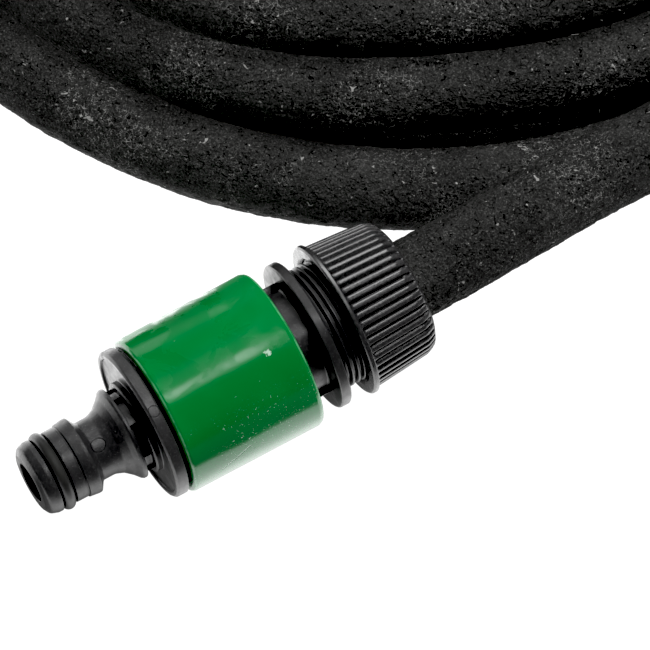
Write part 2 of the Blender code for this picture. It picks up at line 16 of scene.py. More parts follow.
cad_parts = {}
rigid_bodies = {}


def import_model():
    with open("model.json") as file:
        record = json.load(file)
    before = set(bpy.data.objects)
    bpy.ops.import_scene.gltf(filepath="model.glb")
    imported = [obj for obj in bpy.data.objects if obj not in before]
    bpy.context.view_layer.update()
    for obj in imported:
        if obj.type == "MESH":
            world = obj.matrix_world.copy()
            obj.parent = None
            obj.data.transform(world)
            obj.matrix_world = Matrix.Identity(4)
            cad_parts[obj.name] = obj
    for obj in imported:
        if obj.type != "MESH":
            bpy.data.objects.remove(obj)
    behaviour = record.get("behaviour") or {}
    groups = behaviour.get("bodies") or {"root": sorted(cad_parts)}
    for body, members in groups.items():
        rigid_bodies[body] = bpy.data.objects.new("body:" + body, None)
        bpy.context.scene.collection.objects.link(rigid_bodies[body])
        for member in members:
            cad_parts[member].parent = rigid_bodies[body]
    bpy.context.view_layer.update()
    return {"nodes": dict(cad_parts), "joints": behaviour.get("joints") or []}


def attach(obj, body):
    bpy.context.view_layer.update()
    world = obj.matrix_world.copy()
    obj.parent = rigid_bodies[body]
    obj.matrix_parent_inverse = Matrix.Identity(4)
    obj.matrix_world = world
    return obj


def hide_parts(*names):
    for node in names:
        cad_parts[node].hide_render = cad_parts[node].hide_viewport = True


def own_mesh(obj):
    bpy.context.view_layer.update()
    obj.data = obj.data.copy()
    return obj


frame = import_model()
MM = 0.001
FULL_TURN = 2 * math.pi
NODES = frame["nodes"]
JOINTS = {joint["name"]: joint for joint in frame["joints"]}


# ---------------------------------------------------------------- places
def unit(vector):
    return vector / np.linalg.norm(vector)


def joint_axis(name):
    return unit(np.array(JOINTS[name]["axis"], float))


def joint_place(name):
    return np.array(JOINTS[name]["pos_m"], float) * 1000


def frame_from(origin, axis, side):
    """A frame at origin (mm) with z along the axis and x as near to side as it can be."""
    z = Vector(axis).normalized()
    x = Vector(side)
    x = (x - z * x.dot(z)).normalized()
    y = z.cross(x)
    at = Vector(origin) * MM
    return Matrix(((x.x, y.x, z.x, at.x), (x.y, y.y, z.y, at.y), (x.z, y.z, z.z, at.z), (0, 0, 0, 1)))


COUPLER_LENGTH = 52.8
END_TIP_TO_JOINT = 22.0
RIB_DIRECTION = (-0.4622, 0.7485, 0.4322)     # world direction of the inlet barrel's ribs
END_SIDE = (0.25, 0.1, 1.0)
AXIS = joint_axis("coupler_spin")
NOSE = joint_place("coupler_spin") - AXIS * (COUPLER_LENGTH / 2)
END_AXIS = joint_axis("nut_end_turn")
END_TIP = joint_place("nut_end_turn") - END_AXIS * END_TIP_TO_JOINT
COIL_NOSE = np.array((-79.8, -201.1, 15.55))  # the nose in the coil's own frame
ORIGIN = COIL_NOSE - NOSE                     # coil frame minus world
INLET = frame_from(NOSE, AXIS, RIB_DIRECTION)
END = frame_from(END_TIP, END_AXIS, END_SIDE)
END_SHIFT = 58.0                              # inlet station minus the same station on the end plug
ENDS = (("inlet", 0.0, INLET), ("end", END_SHIFT, END))

# camera
CAMERA_TARGET = np.array([-19.85, -172.8, 30.8]) - ORIGIN
CAMERA_DISTANCE = 1597.3
CAMERA_ELEVATION = math.radians(60.0)
CAMERA_SENSOR = 36.0
CAMERA_LENS = 434.368246
CAMERA_BACK = np.array([0.0, -math.cos(CAMERA_ELEVATION), math.sin(CAMERA_ELEVATION)])
CAMERA_UP = np.array([0.0, math.sin(CAMERA_ELEVATION), math.cos(CAMERA_ELEVATION)])
CAMERA_PLACE = CAMERA_TARGET + CAMERA_BACK * CAMERA_DISTANCE
# the hose is finely cut where its offset from the view axis, over its depth, is less than this
FINE_SLOPE = 0.050364923


# ---------------------------------------------------------------- noise on arrays of points
def random_at(cell, seed):
    """An integer hash of each cell, scaled to 0..1."""
    x, y, z = cell.astype(np.uint32).T
    bits = x * np.uint32(0x8DA6B343)
    bits ^= y * np.uint32(0xD8163841)
    bits ^= z * np.uint32(0xCB1AB31F)
    bits ^= np.uint32((seed * 0x9E3779B1) & 0xFFFFFFFF)
    bits ^= bits >> np.uint32(15)
    bits *= np.uint32(0x2C1B3C6D)
    bits ^= bits >> np.uint32(12)
    bits *= np.uint32(0x297A2D39)
    bits ^= bits >> np.uint32(15)
    return bits.astype(np.float32) * np.float32(1 / 4294967296.0)


def split_cells(points, size):
    """The cell each point falls in, and its place within that cell."""
    scaled = (points / size).astype(np.float32)
    cell = np.floor(scaled).astype(np.int64)
    return cell, scaled - cell


def value_noise(points, size, seed):
    """Smooth noise from 0 to 1 with features of about the given size."""
    cell, part = split_cells(points, size)
    part = part * part * (3 - 2 * part)
    weights = (1 - part, part)
    total = np.zeros(len(points), np.float32)
    for step in product((0, 1), repeat=3):
        x, y, z = step
        weight = weights[x][:, 0] * weights[y][:, 1] * weights[z][:, 2]
        total += weight * random_at(cell + step, seed)
    return total


def scatter_distance(points, size, seed):
    """Distance to the nearest scattered point, in cells."""
    cell, part = split_cells(points, size)
    nearest = np.full(len(points), 9.0, np.float32)
    for step in product((-1, 0, 1), repeat=3):
        gaps = [
            step[k] + random_at(cell + step, seed + 101 * k) - part[:, k]
            for k in range(3)
        ]
        nearest = np.minimum(nearest, sum(gap * gap for gap in gaps))
    return np.sqrt(nearest)


def smooth_step(value, start, end):
    part = np.clip((value - start) / (end - start), 0, 1)
    return part * part * (3 - 2 * part)


# ---------------------------------------------------------------- meshes
def add_object(name, mesh, place, material, body):
    obj = bpy.data.objects.new(name, mesh)
    bpy.context.scene.collection.objects.link(obj)
    obj.matrix_world = place
    mesh.materials.append(material)
    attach(obj, body)
    return obj


def stand_for(obj, node):
    """Hides the CAD piece that the object stands in for."""
    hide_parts(node)


def grid_mesh(name, points, material, place, body, closed_rows=False, closed_columns=True):
    """A skin over a (rows, columns, 3) grid of points in mm."""
    rows, columns = points.shape[:2]
    index = np.arange(rows * columns).reshape(rows, columns)
    row = np.arange(rows if closed_rows else rows - 1)
    column = np.arange(columns if closed_columns else columns - 1)
    next_row = (row + 1) % rows
    next_column = (column + 1) % columns
    corners = [
        index[row][:, column], index[next_row][:, column],
        index[next_row][:, next_column], index[row][:, next_column],
    ]
    faces = np.stack(corners, -1).reshape(-1, 4)
    mesh = bpy.data.meshes.new(name)
    mesh.vertices.add(rows * columns)
    mesh.vertices.foreach_set("co", (points.reshape(-1, 3) * MM).astype(np.float32).ravel())
    mesh.loops.add(len(faces) * 4)
    mesh.loops.foreach_set("vertex_index", faces.astype(np.int32).ravel())
    mesh.polygons.add(len(faces))
    mesh.polygons.foreach_set("loop_start", np.arange(0, len(faces) * 4, 4, dtype=np.int32))
    mesh.polygons.foreach_set("use_smooth", np.full(len(faces), True))
    mesh.update(calc_edges=True)
    mesh.validate()
    return add_object(name, mesh, place, material, body)


def fillet(points, default=0.25, steps=4):
    """Rounds the corners of a closed profile of (s, r) or (s, r, fillet) points."""
    points = [(*point, default)[:3] for point in points]
    out = []
    for k, (s, r, radius) in enumerate(points):
        corner = np.array((s, r))
        before = np.array(points[k - 1][:2]) - corner
        after = np.array(points[(k + 1) % len(points)][:2]) - corner
        before_length, after_length = np.linalg.norm(before), np.linalg.norm(after)
        before, after = before / before_length, after / after_length
        half = math.acos(float(np.clip(before @ after, -1, 1))) / 2
        if radius <= 0 or half > math.pi / 2 - 0.03:      # sharp, or nearly straight
            out.append(corner)
            continue
        cut = min(radius / math.tan(half), before_length * 0.48, after_length * 0.48)
        rounding = cut * math.tan(half)
        centre = corner + unit(before + after) * (rounding / math.sin(half))
        first = corner + before * cut - centre
        last = corner + after * cut - centre
        cosine = first @ last / (np.linalg.norm(first) * np.linalg.norm(last))
        angle = math.acos(float(np.clip(cosine, -1, 1)))
        for t in np.linspace(0, 1, steps + 1):
            blend = math.sin((1 - t) * angle) * first + math.sin(t * angle) * last
            out.append(centre + blend / math.sin(angle))
    return np.array(out)


def subdivide(profile, longest):
    """Cuts a closed profile so that no piece is longer than this."""
    out = []
    for k, start in enumerate(profile):
        span = profile[(k + 1) % len(profile)] - start
        pieces = max(1, math.ceil(np.linalg.norm(span) / longest))
        out += [start + span * i / pieces for i in range(pieces)]
    return np.array(out)


def spin(profile, angles):
    """Station, radius and angle at every point of a profile swept round the axis."""
    return np.broadcast_arrays(profile[:, :1], profile[:, 1:], angles[None])


def round_axis(s, r, angle):
    return np.stack([r * np.cos(angle), r * np.sin(angle), s], -1)


def ring_mesh(name, s, r, angle, material, place, body, closed=True):
    points = round_axis(s, r, angle)[:, ::-1]
    return grid_mesh(name, points, material, place, body, closed_rows=True, closed_columns=closed)


def full_circle(count):
    return np.linspace(0, FULL_TURN, count, endpoint=False)


def turned(name, outer, inner, material, place, body, segments, longest=0.8, reshape=None):
    """A turned piece with rounded corners. outer and inner are (s, r[, fillet]), s rising."""
    profile = subdivide(fillet(list(outer) + list(reversed(inner))), longest)
    s, r, angle = spin(profile, full_circle(segments))
    if reshape:
        r = reshape(s, r, angle)
    return ring_mesh(name, s, r, angle, material, place, body)


def rounded_box(name, centre, size, place, material, body, bevel, turn=0.0):
    mesh = bpy.data.meshes.new(name)
    box = bmesh.new()
    bmesh.ops.create_cube(box, size=1.0)
    bmesh.ops.scale(box, vec=Vector(size) * MM, verts=box.verts)
    bmesh.ops.bevel(
        box, geom=list(box.edges), offset=bevel * MM, segments=3, affect="EDGES", profile=0.5
    )
    bmesh.ops.translate(box, vec=Vector(centre) * MM, verts=box.verts)
    for face in box.faces:
        face.smooth = True
    box.to_mesh(mesh)
    box.free()
    return add_object(name, mesh, place @ Matrix.Rotation(turn, 4, "Z"), material, body)


# ---------------------------------------------------------------- node graphs
class Graph:
    """The nodes of a material or world, with a short call for each kind used here."""

    def __init__(self, owner, shader="Principled BSDF"):
        owner.use_nodes = True
        self.owner = owner
        self.tree = owner.node_tree
        self.shader = self.tree.nodes[shader]

    @cached_property
    def coord(self):
        return self.new("ShaderNodeTexCoord").outputs["Object"]

    def new(self, kind, inputs=None, **settings):
        node = self.tree.nodes.new(kind)
        for key, value in settings.items():
            setattr(node, key, value)
        for key, value in (inputs or {}).items():
            self.put(node.inputs[key], value)
        return node

    def put(self, socket, value):
        if isinstance(value, bpy.types.NodeSocket):
            self.tree.links.new(value, socket)
        elif isinstance(value, tuple) and socket.type == "RGBA" and len(value) == 3:
            socket.default_value = (*value, 1)
        else:
            socket.default_value = value

    def mapped(self, scale=(1, 1, 1), rotation=(0, 0, 0), location=(0, 0, 0), source=None):
        inputs = {
            "Vector": source or self.coord, "Scale": scale,
            "Rotation": rotation, "Location": location,
        }
        return self.new("ShaderNodeMapping", inputs).outputs["Vector"]

    def vector(self, at):
        """at is None, a shift of the object's coordinates, or a socket."""
        if at is None:
            return self.coord
        return self.mapped(location=at) if isinstance(at, tuple) else at

    def noise(self, scale, detail=4, rough=0.55, distortion=0.0, at=None):
        inputs = {
            "Vector": self.vector(at), "Scale": scale, "Detail": detail,
            "Roughness": rough, "Distortion": distortion,
        }
        return self.new("ShaderNodeTexNoise", inputs).outputs["Fac"]

    def voronoi(self, scale, feature="F1", at=None):
        inputs = {"Vector": self.vector(at), "Scale": scale}
        return self.new("ShaderNodeTexVoronoi", inputs, feature=feature).outputs["Distance"]

    def ramp(self, value, span, to=(0.0, 1.0)):
        """Eases from to[0] at span[0] to to[1] at span[1]."""
        inputs = {
            "Value": value, "From Min": span[0], "From Max": span[1],
            "To Min": to[0], "To Max": to[1],
        }
        node = self.new("ShaderNodeMapRange", inputs, interpolation_type="SMOOTHSTEP")
        return node.outputs["Result"]

    def math(self, operation, first, second=0.0, clamp=False):
        inputs = {0: first, 1: second}
        node = self.new("ShaderNodeMath", inputs, operation=operation, use_clamp=clamp)
        return node.outputs[0]

    def times(self, first, second):
        return self.math("MULTIPLY", first, second)

    def plus(self, first, second):
        return self.math("ADD", first, second)

    def most(self, first, second):
        return self.math("MAXIMUM", first, second)

    def off(self, value, centre):
        """How far the value is from the centre, either way."""
        return self.math("ABSOLUTE", self.math("SUBTRACT", value, centre))

    def weighted(self, *pairs):
        """The sum of (value, weight) pairs."""
        total = self.times(*pairs[0])
        for pair in pairs[1:]:
            total = self.plus(total, self.times(*pair))
        return total

    def vector_math(self, operation, first, second):
        node = self.new("ShaderNodeVectorMath", {0: first, 1: second}, operation=operation)
        return node.outputs["Value" if operation in ("DISTANCE", "DOT_PRODUCT") else 0]

    def along(self, direction):
        return self.vector_math("DOT_PRODUCT", self.coord, direction)

    def mix(self, base, tint, mask, strength=None):
        """The base colour, giving way to the tint where the mask is 1."""
        factor = mask if strength is None else self.times(mask, strength)
        inputs = {0: factor, 6: base, 7: tint}            # 6 and 7 are the colour sockets
        return self.new("ShaderNodeMix", inputs, data_type="RGBA").outputs[2]

    def bump(self, height, strength, distance, normal=None):
        inputs = {"Height": height, "Strength": strength, "Distance": distance}
        if normal:
            inputs["Normal"] = normal
        return self.new("ShaderNodeBump", inputs).outputs["Normal"]

    def dent(self, mask, strength, distance, normal):
        return self.bump(self.times(mask, -1.0), strength, distance, normal)

    def set(self, **values):
        for key, value in values.items():
            self.put(self.shader.inputs[key.replace("_", " ")], value)
        return self.owner


def new_material(name):
    return Graph(bpy.data.materials.new(name))


def grey(level):
    return (level,) * 3


# ---------------------------------------------------------------- marks on the surface
def distance_from(mat, point):
    return mat.vector_math("DISTANCE", mat.coord, tuple(Vector(point) * MM))


def ring_mark(mat, point, radius, width):
    """1 on a thin circle round a point of the surface, else 0."""
    off = mat.off(distance_from(mat, point), radius * MM)
    return mat.ramp(off, span=(0.0, width * MM), to=(1.0, 0.0))


def line_mark(mat, start, end, width):
    """1 on a thin line between two points of the surface, else 0."""
    start = Vector(start) * MM
    line = Vector(end) * MM - start
    offset = mat.vector_math("SUBTRACT", mat.coord, tuple(start))
    reach = mat.vector_math("DOT_PRODUCT", offset, tuple(line))
    part = mat.math("DIVIDE", reach, line.length_squared, clamp=True)
    inputs = {0: tuple(line), "Scale": part}
    nearest = mat.new("ShaderNodeVectorMath", inputs, operation="SCALE").outputs[0]
    distance = mat.vector_math("DISTANCE", offset, nearest)
    return mat.ramp(distance, span=(0.0, width * MM), to=(1.0, 0.0))


def blot_mark(mat, point, radius):
    """A ragged nick with a painted highlight: 1 in the middle, broken up towards its edge."""
    distance = distance_from(mat, point)
    tear = mat.noise(scale=1500, detail=2, rough=0.6, distortion=0.5)
    torn = mat.times(mat.math("SUBTRACT", tear, 0.5), 3.2 * radius * MM)
    span = (radius * 0.35 * MM, radius * 0.8 * MM)
    return mat.ramp(mat.plus(distance, torn), span=span, to=(1.0, 0.0))


def scratches(mat, angle, across, along, width, seed):
    """Thin streaks, mostly one way. across and along are noise scales."""
    streaked = mat.mapped(
        scale=(across, across, along),
        rotation=(0.3 * seed, angle, 0.2 * seed),
        location=(seed, seed * 2, seed * 3),
    )
    noise = mat.noise(scale=1.0, detail=2, rough=0.5, at=mat.mapped(source=streaked))
    return mat.ramp(mat.off(noise, 0.5), span=(0.0, width), to=(1.0, 0.0))


# centre in the inlet frame, radius, line width; the last is small enough to be a dot, painted near
# black as the shade inside a small hole
COUPLER_RINGS = (
    ((0.27, 6.89, 14.9), 1.55, 0.16),
    ((0.95, 16.67, 26.5), 1.2, 0.13),
    ((-14.6, 5.9, 25.2), 0.1, 0.45),
)
# start and end in the inlet frame, line width
SLEEVE_LINES = (
    ((-16.3, 6.3, 34.4), (-14.4, 9.8, 42.0), 0.22),
    ((-15.9, 7.2, 33.2), (-15.2, 8.6, 36.6), 0.08),
    ((-13.0, 11.6, 35.6), (-13.4, 11.2, 37.9), 0.12),
    ((1.2, 17.4, 31.4), (0.2, 17.45, 35.0), 0.10),
)
SLEEVE_NICK_GLINT = ((0.69, 17.39, 52.85), 0.95)    # centre, radius; a pale nick, partly a real dent and partly a painted highlight
SLEEVE_HIGHLIGHT_RIMS = (29.05, 58.95)                  # stations where the rims turn, each with a painted highlight line
SLEEVE_RIM_HIGHLIGHT_WIDTH = 0.35
SLEEVE_NEAR_SIDE = (-1.0, 0.55, 0.0)          # inlet frame; points level, to the world's -Y side


# ---------------------------------------------------------------- materials
def black_plastic(name, tone, rough, bump, seed, rings=(), specular=0.5):
    """Moulded black plastic with a fine grain, dust and hairline scuffs."""
    mat = new_material(name)
    at = mat.mapped(location=(seed * 0.37, seed * 0.11, seed * 0.23))
    broad = mat.noise(scale=60, detail=3, rough=0.5, at=at)
    fine = mat.noise(scale=2600, detail=2, rough=0.6, at=at)
    middle = mat.noise(scale=420, detail=5, rough=0.6, at=at)
    pale = mat.noise(scale=1500, detail=3, rough=0.7, at=at)
    dust = mat.noise(scale=3200, detail=1, rough=0.4, at=(3, 1, seed))
    dust = mat.ramp(dust, span=(0.73, 0.78))

    darker = (tone * 0.8, tone * 0.8, tone * 0.82)
    lighter = (tone * 1.3, tone * 1.28, tone * 1.3)
    colour = mat.mix(darker, lighter, mat.ramp(broad, span=(0.3, 0.7)))
    mask = mat.ramp(fine, span=(0.35, 0.65), to=(0.35, 0.0))
    colour = mat.mix(colour, grey(tone * 0.3), mask)
    mask = mat.ramp(pale, span=(0.52, 0.70), to=(0.0, 0.30))
    colour = mat.mix(colour, grey(tone * 3.0), mask)
    colour = mat.mix(colour, grey(0.20), dust, strength=0.7)

    roughness = mat.ramp(middle, span=(0.3, 0.7), to=(rough - 0.05, rough + 0.08))
    roughness = mat.plus(roughness, mat.times(dust, 0.3))

    height = mat.weighted((fine, 0.35), (middle, 0.6))
    normal = mat.bump(height, strength=bump, distance=0.00012)
    scuff = scratches(mat, angle=0.5, across=900, along=60, width=0.006, seed=2 + seed)
    normal = mat.dent(scuff, strength=0.08, distance=0.00006, normal=normal)
    # the rings darken as mould marks; the dot is painted shade of a small hole
    for ring in rings:
        mark = ring_mark(mat, *ring)
        normal = mat.dent(mark, strength=0.35, distance=0.0001, normal=normal)
        colour = mat.mix(colour, grey(0.001), mark, strength=0.9)
    return mat.set(
        Base_Color=colour, Roughness=roughness, Normal=normal, Specular_IOR_Level=specular
    )


def sleeve_specks(mat):
    """Pale flecks and dots in a few patches, and rubbed grains on the near side."""
    few = mat.noise(scale=70, detail=2, rough=0.5, at=(9, 4, 6))
    few = mat.ramp(few, span=(0.57, 0.70))
    fleck = mat.noise(scale=1500, detail=1, rough=0.5, distortion=0.6, at=(1, 9, 4))
    fleck = mat.times(mat.ramp(fleck, span=(0.755, 0.79)), few)
    dots = mat.ramp(mat.voronoi(scale=300, at=(1, 9, 4)), span=(0.035, 0.06), to=(1.0, 0.0))
    speck = mat.most(fleck, mat.times(dots, few))
    near = mat.ramp(mat.along(SLEEVE_NEAR_SIDE), span=(0.0135, 0.0195))
    grains = mat.noise(scale=2100, detail=2, rough=0.6, distortion=0.5, at=(2, 2, 5))
    patch = mat.noise(scale=140, detail=2, rough=0.5, at=(7, 1, 3))
    rub = mat.times(mat.ramp(grains, span=(0.645, 0.70)), near)
    rub = mat.times(rub, mat.ramp(patch, span=(0.42, 0.58)))
    return mat.most(speck, rub)


def green_plastic(name):
    """Glossy green plastic, scratched and specked, with painted highlight lines along both rims."""
    mat = new_material(name)
    # pale tints: for scratches; for specks, scratch lines and the nick's painted highlight; for the
    # painted rim highlights
    scratch_pale, wear_and_glint_pale, rim_highlight_tint = (0.22, 0.40, 0.27), (0.50, 0.66, 0.54), (0.20, 0.46, 0.27)
    broad = mat.noise(scale=38, detail=3, rough=0.5, distortion=0.4)
    mask = mat.ramp(broad, span=(0.3, 0.7))
    colour = mat.mix((0.004, 0.165, 0.037), (0.004, 0.208, 0.050), mask)
    one_way = scratches(mat, angle=0.25, across=700, along=26, width=0.0022, seed=1)
    other_way = scratches(mat, angle=-0.5, across=800, along=34, width=0.0018, seed=4)
    patch = mat.noise(scale=75, detail=3, rough=0.55, at=(5, 2, 1))
    patch = mat.ramp(patch, span=(0.58, 0.68))
    scratch = mat.times(mat.most(one_way, other_way), patch)
    speck = sleeve_specks(mat)
    colour = mat.mix(colour, scratch_pale, scratch, strength=0.18)
    colour = mat.mix(colour, wear_and_glint_pale, speck, strength=0.75)

    # smeared gloss away from the near side, rougher at the hose end
    smear = mat.noise(scale=150, detail=4, rough=0.62, distortion=0.9)
    away = mat.ramp(mat.along(SLEEVE_NEAR_SIDE), span=(0.004, 0.012), to=(1.0, 0.0))
    hose_end = mat.ramp(mat.along((0.0, 0.0, 1.0)), span=(0.049, 0.056))
    hose_end = mat.times(hose_end, 0.22)
    smeared = mat.ramp(smear, span=(0.40, 0.58), to=(0.16, 0.38))
    roughness = mat.mix(grey(0.16), smeared, away)
    roughness = mat.plus(roughness, mat.times(scratch, 0.25))
    roughness = mat.plus(roughness, mat.times(hose_end, away))

    waves = mat.noise(scale=75, detail=2, rough=0.45)
    normal = mat.bump(waves, strength=0.27, distance=0.0007)
    grain = mat.noise(scale=900, detail=2, rough=0.5)
    normal = mat.bump(grain, strength=0.05, distance=0.0001, normal=normal)
    worn = mat.most(scratch, speck)
    normal = mat.dent(worn, strength=0.25, distance=0.00008, normal=normal)
    # scratch lines, and the nick, whose pale colour is partly a painted highlight
    marks = [(line_mark, *line) for line in SLEEVE_LINES] + [(blot_mark, *SLEEVE_NICK_GLINT)]
    for make_mark, *values in marks:
        mark = make_mark(mat, *values)
        normal = mat.dent(mark, strength=0.7, distance=0.00012, normal=normal)
        colour = mat.mix(colour, wear_and_glint_pale, mark, strength=0.8)

    # painted highlight lines along both rims, broken up by noise
    station = mat.along((0.0, 0.0, 1.0))
    for rim_station in SLEEVE_HIGHLIGHT_RIMS:
        off = mat.off(station, rim_station * MM)
        band = mat.ramp(off, span=(0.0, SLEEVE_RIM_HIGHLIGHT_WIDTH * MM), to=(1.0, 0.0))
        broken = mat.noise(scale=420, detail=3, rough=0.6)
        rim = mat.times(band, mat.ramp(broken, span=(0.36, 0.62), to=(0.25, 1.0)))
        colour = mat.mix(colour, rim_highlight_tint, rim, strength=0.55)
    return mat.set(Base_Color=colour, Roughness=roughness, Normal=normal, Specular_IOR_Level=0.5)


def hose_rubber(name):
    """Crumb rubber: packed grains with open pores, and loose fibres and dust in patches."""
    mat = new_material(name)
    inputs = {"Vector": mat.coord, "Scale": 700, "Detail": 2}
    wander = mat.new("ShaderNodeTexNoise", inputs).outputs["Color"]
    inputs = {0: wander, 1: grey(0.0011), 2: mat.coord}
    bent = mat.new("ShaderNodeVectorMath", inputs, operation="MULTIPLY_ADD").outputs[0]
    cells = mat.voronoi(scale=1150, at=bent)
    fine = mat.noise(scale=2300, detail=2, rough=0.75, distortion=0.2)
    grain = mat.noise(scale=1100, detail=3, rough=0.75, distortion=0.3)
    lump = mat.noise(scale=420, detail=4, rough=0.65)
    broad = mat.noise(scale=85, detail=4, rough=0.6)

    # open pores, thicker in some patches than in others, and seams between grains, painted near black
    # as the shade inside them
    pore = mat.noise(scale=950, detail=2, rough=0.7, distortion=0.4, at=(4, 4, 4))
    pore = mat.ramp(pore, span=(0.62, 0.68))
    crowd = mat.noise(scale=190, detail=3, rough=0.6, at=(1, 6, 2))
    pore = mat.times(pore, mat.ramp(crowd, span=(0.38, 0.58), to=(0.25, 1.0)))
    seam = mat.voronoi(scale=560, feature="DISTANCE_TO_EDGE", at=bent)
    seam = mat.ramp(seam, span=(0.0, 0.07), to=(1.0, 0.0))
    some = mat.noise(scale=300, detail=2, rough=0.5)
    seam = mat.times(seam, mat.ramp(some, span=(0.52, 0.62)))
    dark = mat.most(pore, mat.times(seam, 0.3))

    mask = mat.ramp(broad, span=(0.3, 0.7))
    tone = mat.mix((0.036, 0.036, 0.0355), (0.048, 0.048, 0.047), mask)
    mask = mat.ramp(fine, span=(0.36, 0.5), to=(0.32, 0.0))
    tone = mat.mix(tone, grey(0.012), mask)
    mask = mat.ramp(fine, span=(0.52, 0.70), to=(0.0, 0.45))
    tone = mat.mix(tone, (0.14, 0.14, 0.137), mask)
    mask = mat.ramp(grain, span=(0.32, 0.48), to=(0.35, 0.0))
    tone = mat.mix(tone, grey(0.010), mask)
    # painted shade: pores and seams near black
    tone = mat.mix(tone, grey(0.0015), dark, strength=0.62)

    # loose fibres, dust and pale flecks
    patch = mat.noise(scale=42, detail=3, rough=0.55, at=(2.2, 7.1, 3.3))
    patch = mat.ramp(patch, span=(0.46, 0.62))
    fibre = mat.voronoi(scale=1000, feature="DISTANCE_TO_EDGE", at=bent)
    fibre = mat.ramp(fibre, span=(0.0, 0.06), to=(1.0, 0.0))
    some = mat.noise(scale=800, detail=2, rough=0.5, at=(8, 3, 5))
    fibre = mat.times(mat.times(fibre, patch), mat.ramp(some, span=(0.48, 0.56)))
    speck = mat.noise(scale=1900, detail=1, rough=0.5, at=(6, 1, 8))
    speck = mat.ramp(speck, span=(0.66, 0.72))
    speck = mat.times(speck, mat.ramp(patch, span=(0.0, 1.0), to=(0.3, 1.0)))
    fleck = mat.noise(scale=700, detail=1, rough=0.5, distortion=0.8, at=(3, 8, 1))
    fleck = mat.ramp(fleck, span=(0.725, 0.77))
    tone = mat.mix(tone, (0.22, 0.22, 0.215), fibre, strength=0.85)
    tone = mat.mix(tone, (0.30, 0.30, 0.29), speck, strength=0.7)
    tone = mat.mix(tone, (0.36, 0.36, 0.35), fleck, strength=0.8)

    roughness = mat.ramp(lump, span=(0.3, 0.7), to=(0.75, 0.95))
    domes = mat.math("SUBTRACT", 1.0, cells)
    height = mat.weighted((lump, 0.9), (grain, 0.8), (domes, 0.35), (fine, 0.3))
    height = mat.math("SUBTRACT", height, mat.times(dark, 0.8))
    normal = mat.bump(height, strength=1.0, distance=0.0007)
    return mat.set(Base_Color=tone, Roughness=roughness, Normal=normal, Specular_IOR_Level=0.2)


def seal_rubber(name):
    mat = new_material(name)
    broad = mat.noise(scale=150, detail=4, rough=0.6)
    mask = mat.ramp(broad, span=(0.3, 0.7))
    colour = mat.mix(grey(0.026), (0.038, 0.038, 0.037), mask)
    grain = mat.noise(scale=1800, detail=3, rough=0.6)
    normal = mat.bump(grain, strength=0.15, distance=0.0001)
    roughness = mat.ramp(broad, span=(0.3, 0.7), to=(0.38, 0.52))
    return mat.set(Base_Color=colour, Roughness=roughness, Normal=normal)


def steel(name):
    mat = new_material(name)
    grain = mat.noise(scale=900, detail=3, rough=0.6, at=mat.mapped(scale=(1, 1, 6)))
    mask = mat.ramp(grain, span=(0.3, 0.7))
    colour = mat.mix((0.42, 0.43, 0.44), (0.62, 0.63, 0.64), mask)
    roughness = mat.ramp(grain, span=(0.3, 0.7), to=(0.25, 0.42))
    normal = mat.bump(grain, strength=0.1, distance=0.00005)
    return mat.set(Base_Color=colour, Metallic=1.0, Roughness=roughness, Normal=normal)


HOSE_MAT = hose_rubber("crumb_rubber")
GREEN_MAT = green_plastic("green_gloss")
BODY_MAT = black_plastic("black_body", tone=0.032, rough=0.34, bump=0.26, seed=1)
NOSE_MAT = black_plastic(
    "black_nose", tone=0.036, rough=0.34, bump=0.30, seed=2, rings=COUPLER_RINGS
)
NUT_MAT = black_plastic("black_nut", tone=0.036, rough=0.26, bump=0.18, seed=3)
RING_MAT = black_plastic("black_ring", tone=0.012, rough=0.42, bump=0.15, seed=4)
# a near-black, barely reflecting copy of the black plastic: painted shade for the tabs in the
# coupler's groove
GROOVE_SHADE_MAT = black_plastic("black_groove_shade", tone=0.004, rough=0.65, bump=0.15, seed=5, specular=0.06)
SEAL_MAT = seal_rubber("seal")
STEEL_MAT = steel("spring_steel")

# ---------------------------------------------------------------- the hose's centre line
COIL_AXIS = unit(np.array((0.8643, 0.4996, 0.0590)))
HOSE_START = 70.0                  # from the nose, along the axis
REST = 8.45                        # height of the centre line where the hose lies on the floor
TURN_GAP = 18.35                   # least distance between the centre lines of two turns
COIL_START = -62.0                 # degrees
COIL_STATIONS = np.array((         # degrees past the start, radius, height
    (0, 134.8, 25.9), (90, 136.5, 23.5), (180, 137.0, 17.0), (245, 131.8, 11.2),
    (290, 128.0, REST), (345, 127.0, REST), (400, 124.7, REST), (660, 109.0, REST),
    (720, 107.6, REST), (1060, 90.2, REST), (1300, 79.0, REST), (1400, 75.5, 14.0),
    (1470, 77.0, 22.5), (1530, 81.0, 25.0), (1800, 96.0, 25.0), (2075, 118.0, 25.0),
    (2095, 118.3, 25.3), (2110, 117.0, 25.5), (2120, 116.2, 25.7), (2130, 114.4, 25.9),
    (2140, 113.0, 26.1), (2155, 114.4, 26.1), (2175, 114.4, 27.6), (2225, 113.0, 32.0),
    (2290, 110.5, 38.0), (2345, 110.0, 42.0), (2440, 111.5, 43.4), (2463, 111.0, 43.4),
    (2474, 109.0, 42.7), (2487, 105.6, 41.5), (2500, 104.2, 41.5), (2515, 104.2, 41.5),
    (2540, 104.6, 41.4), (2600, 99.0, 41.2), (2680, 92.0, 41.0),
), float)


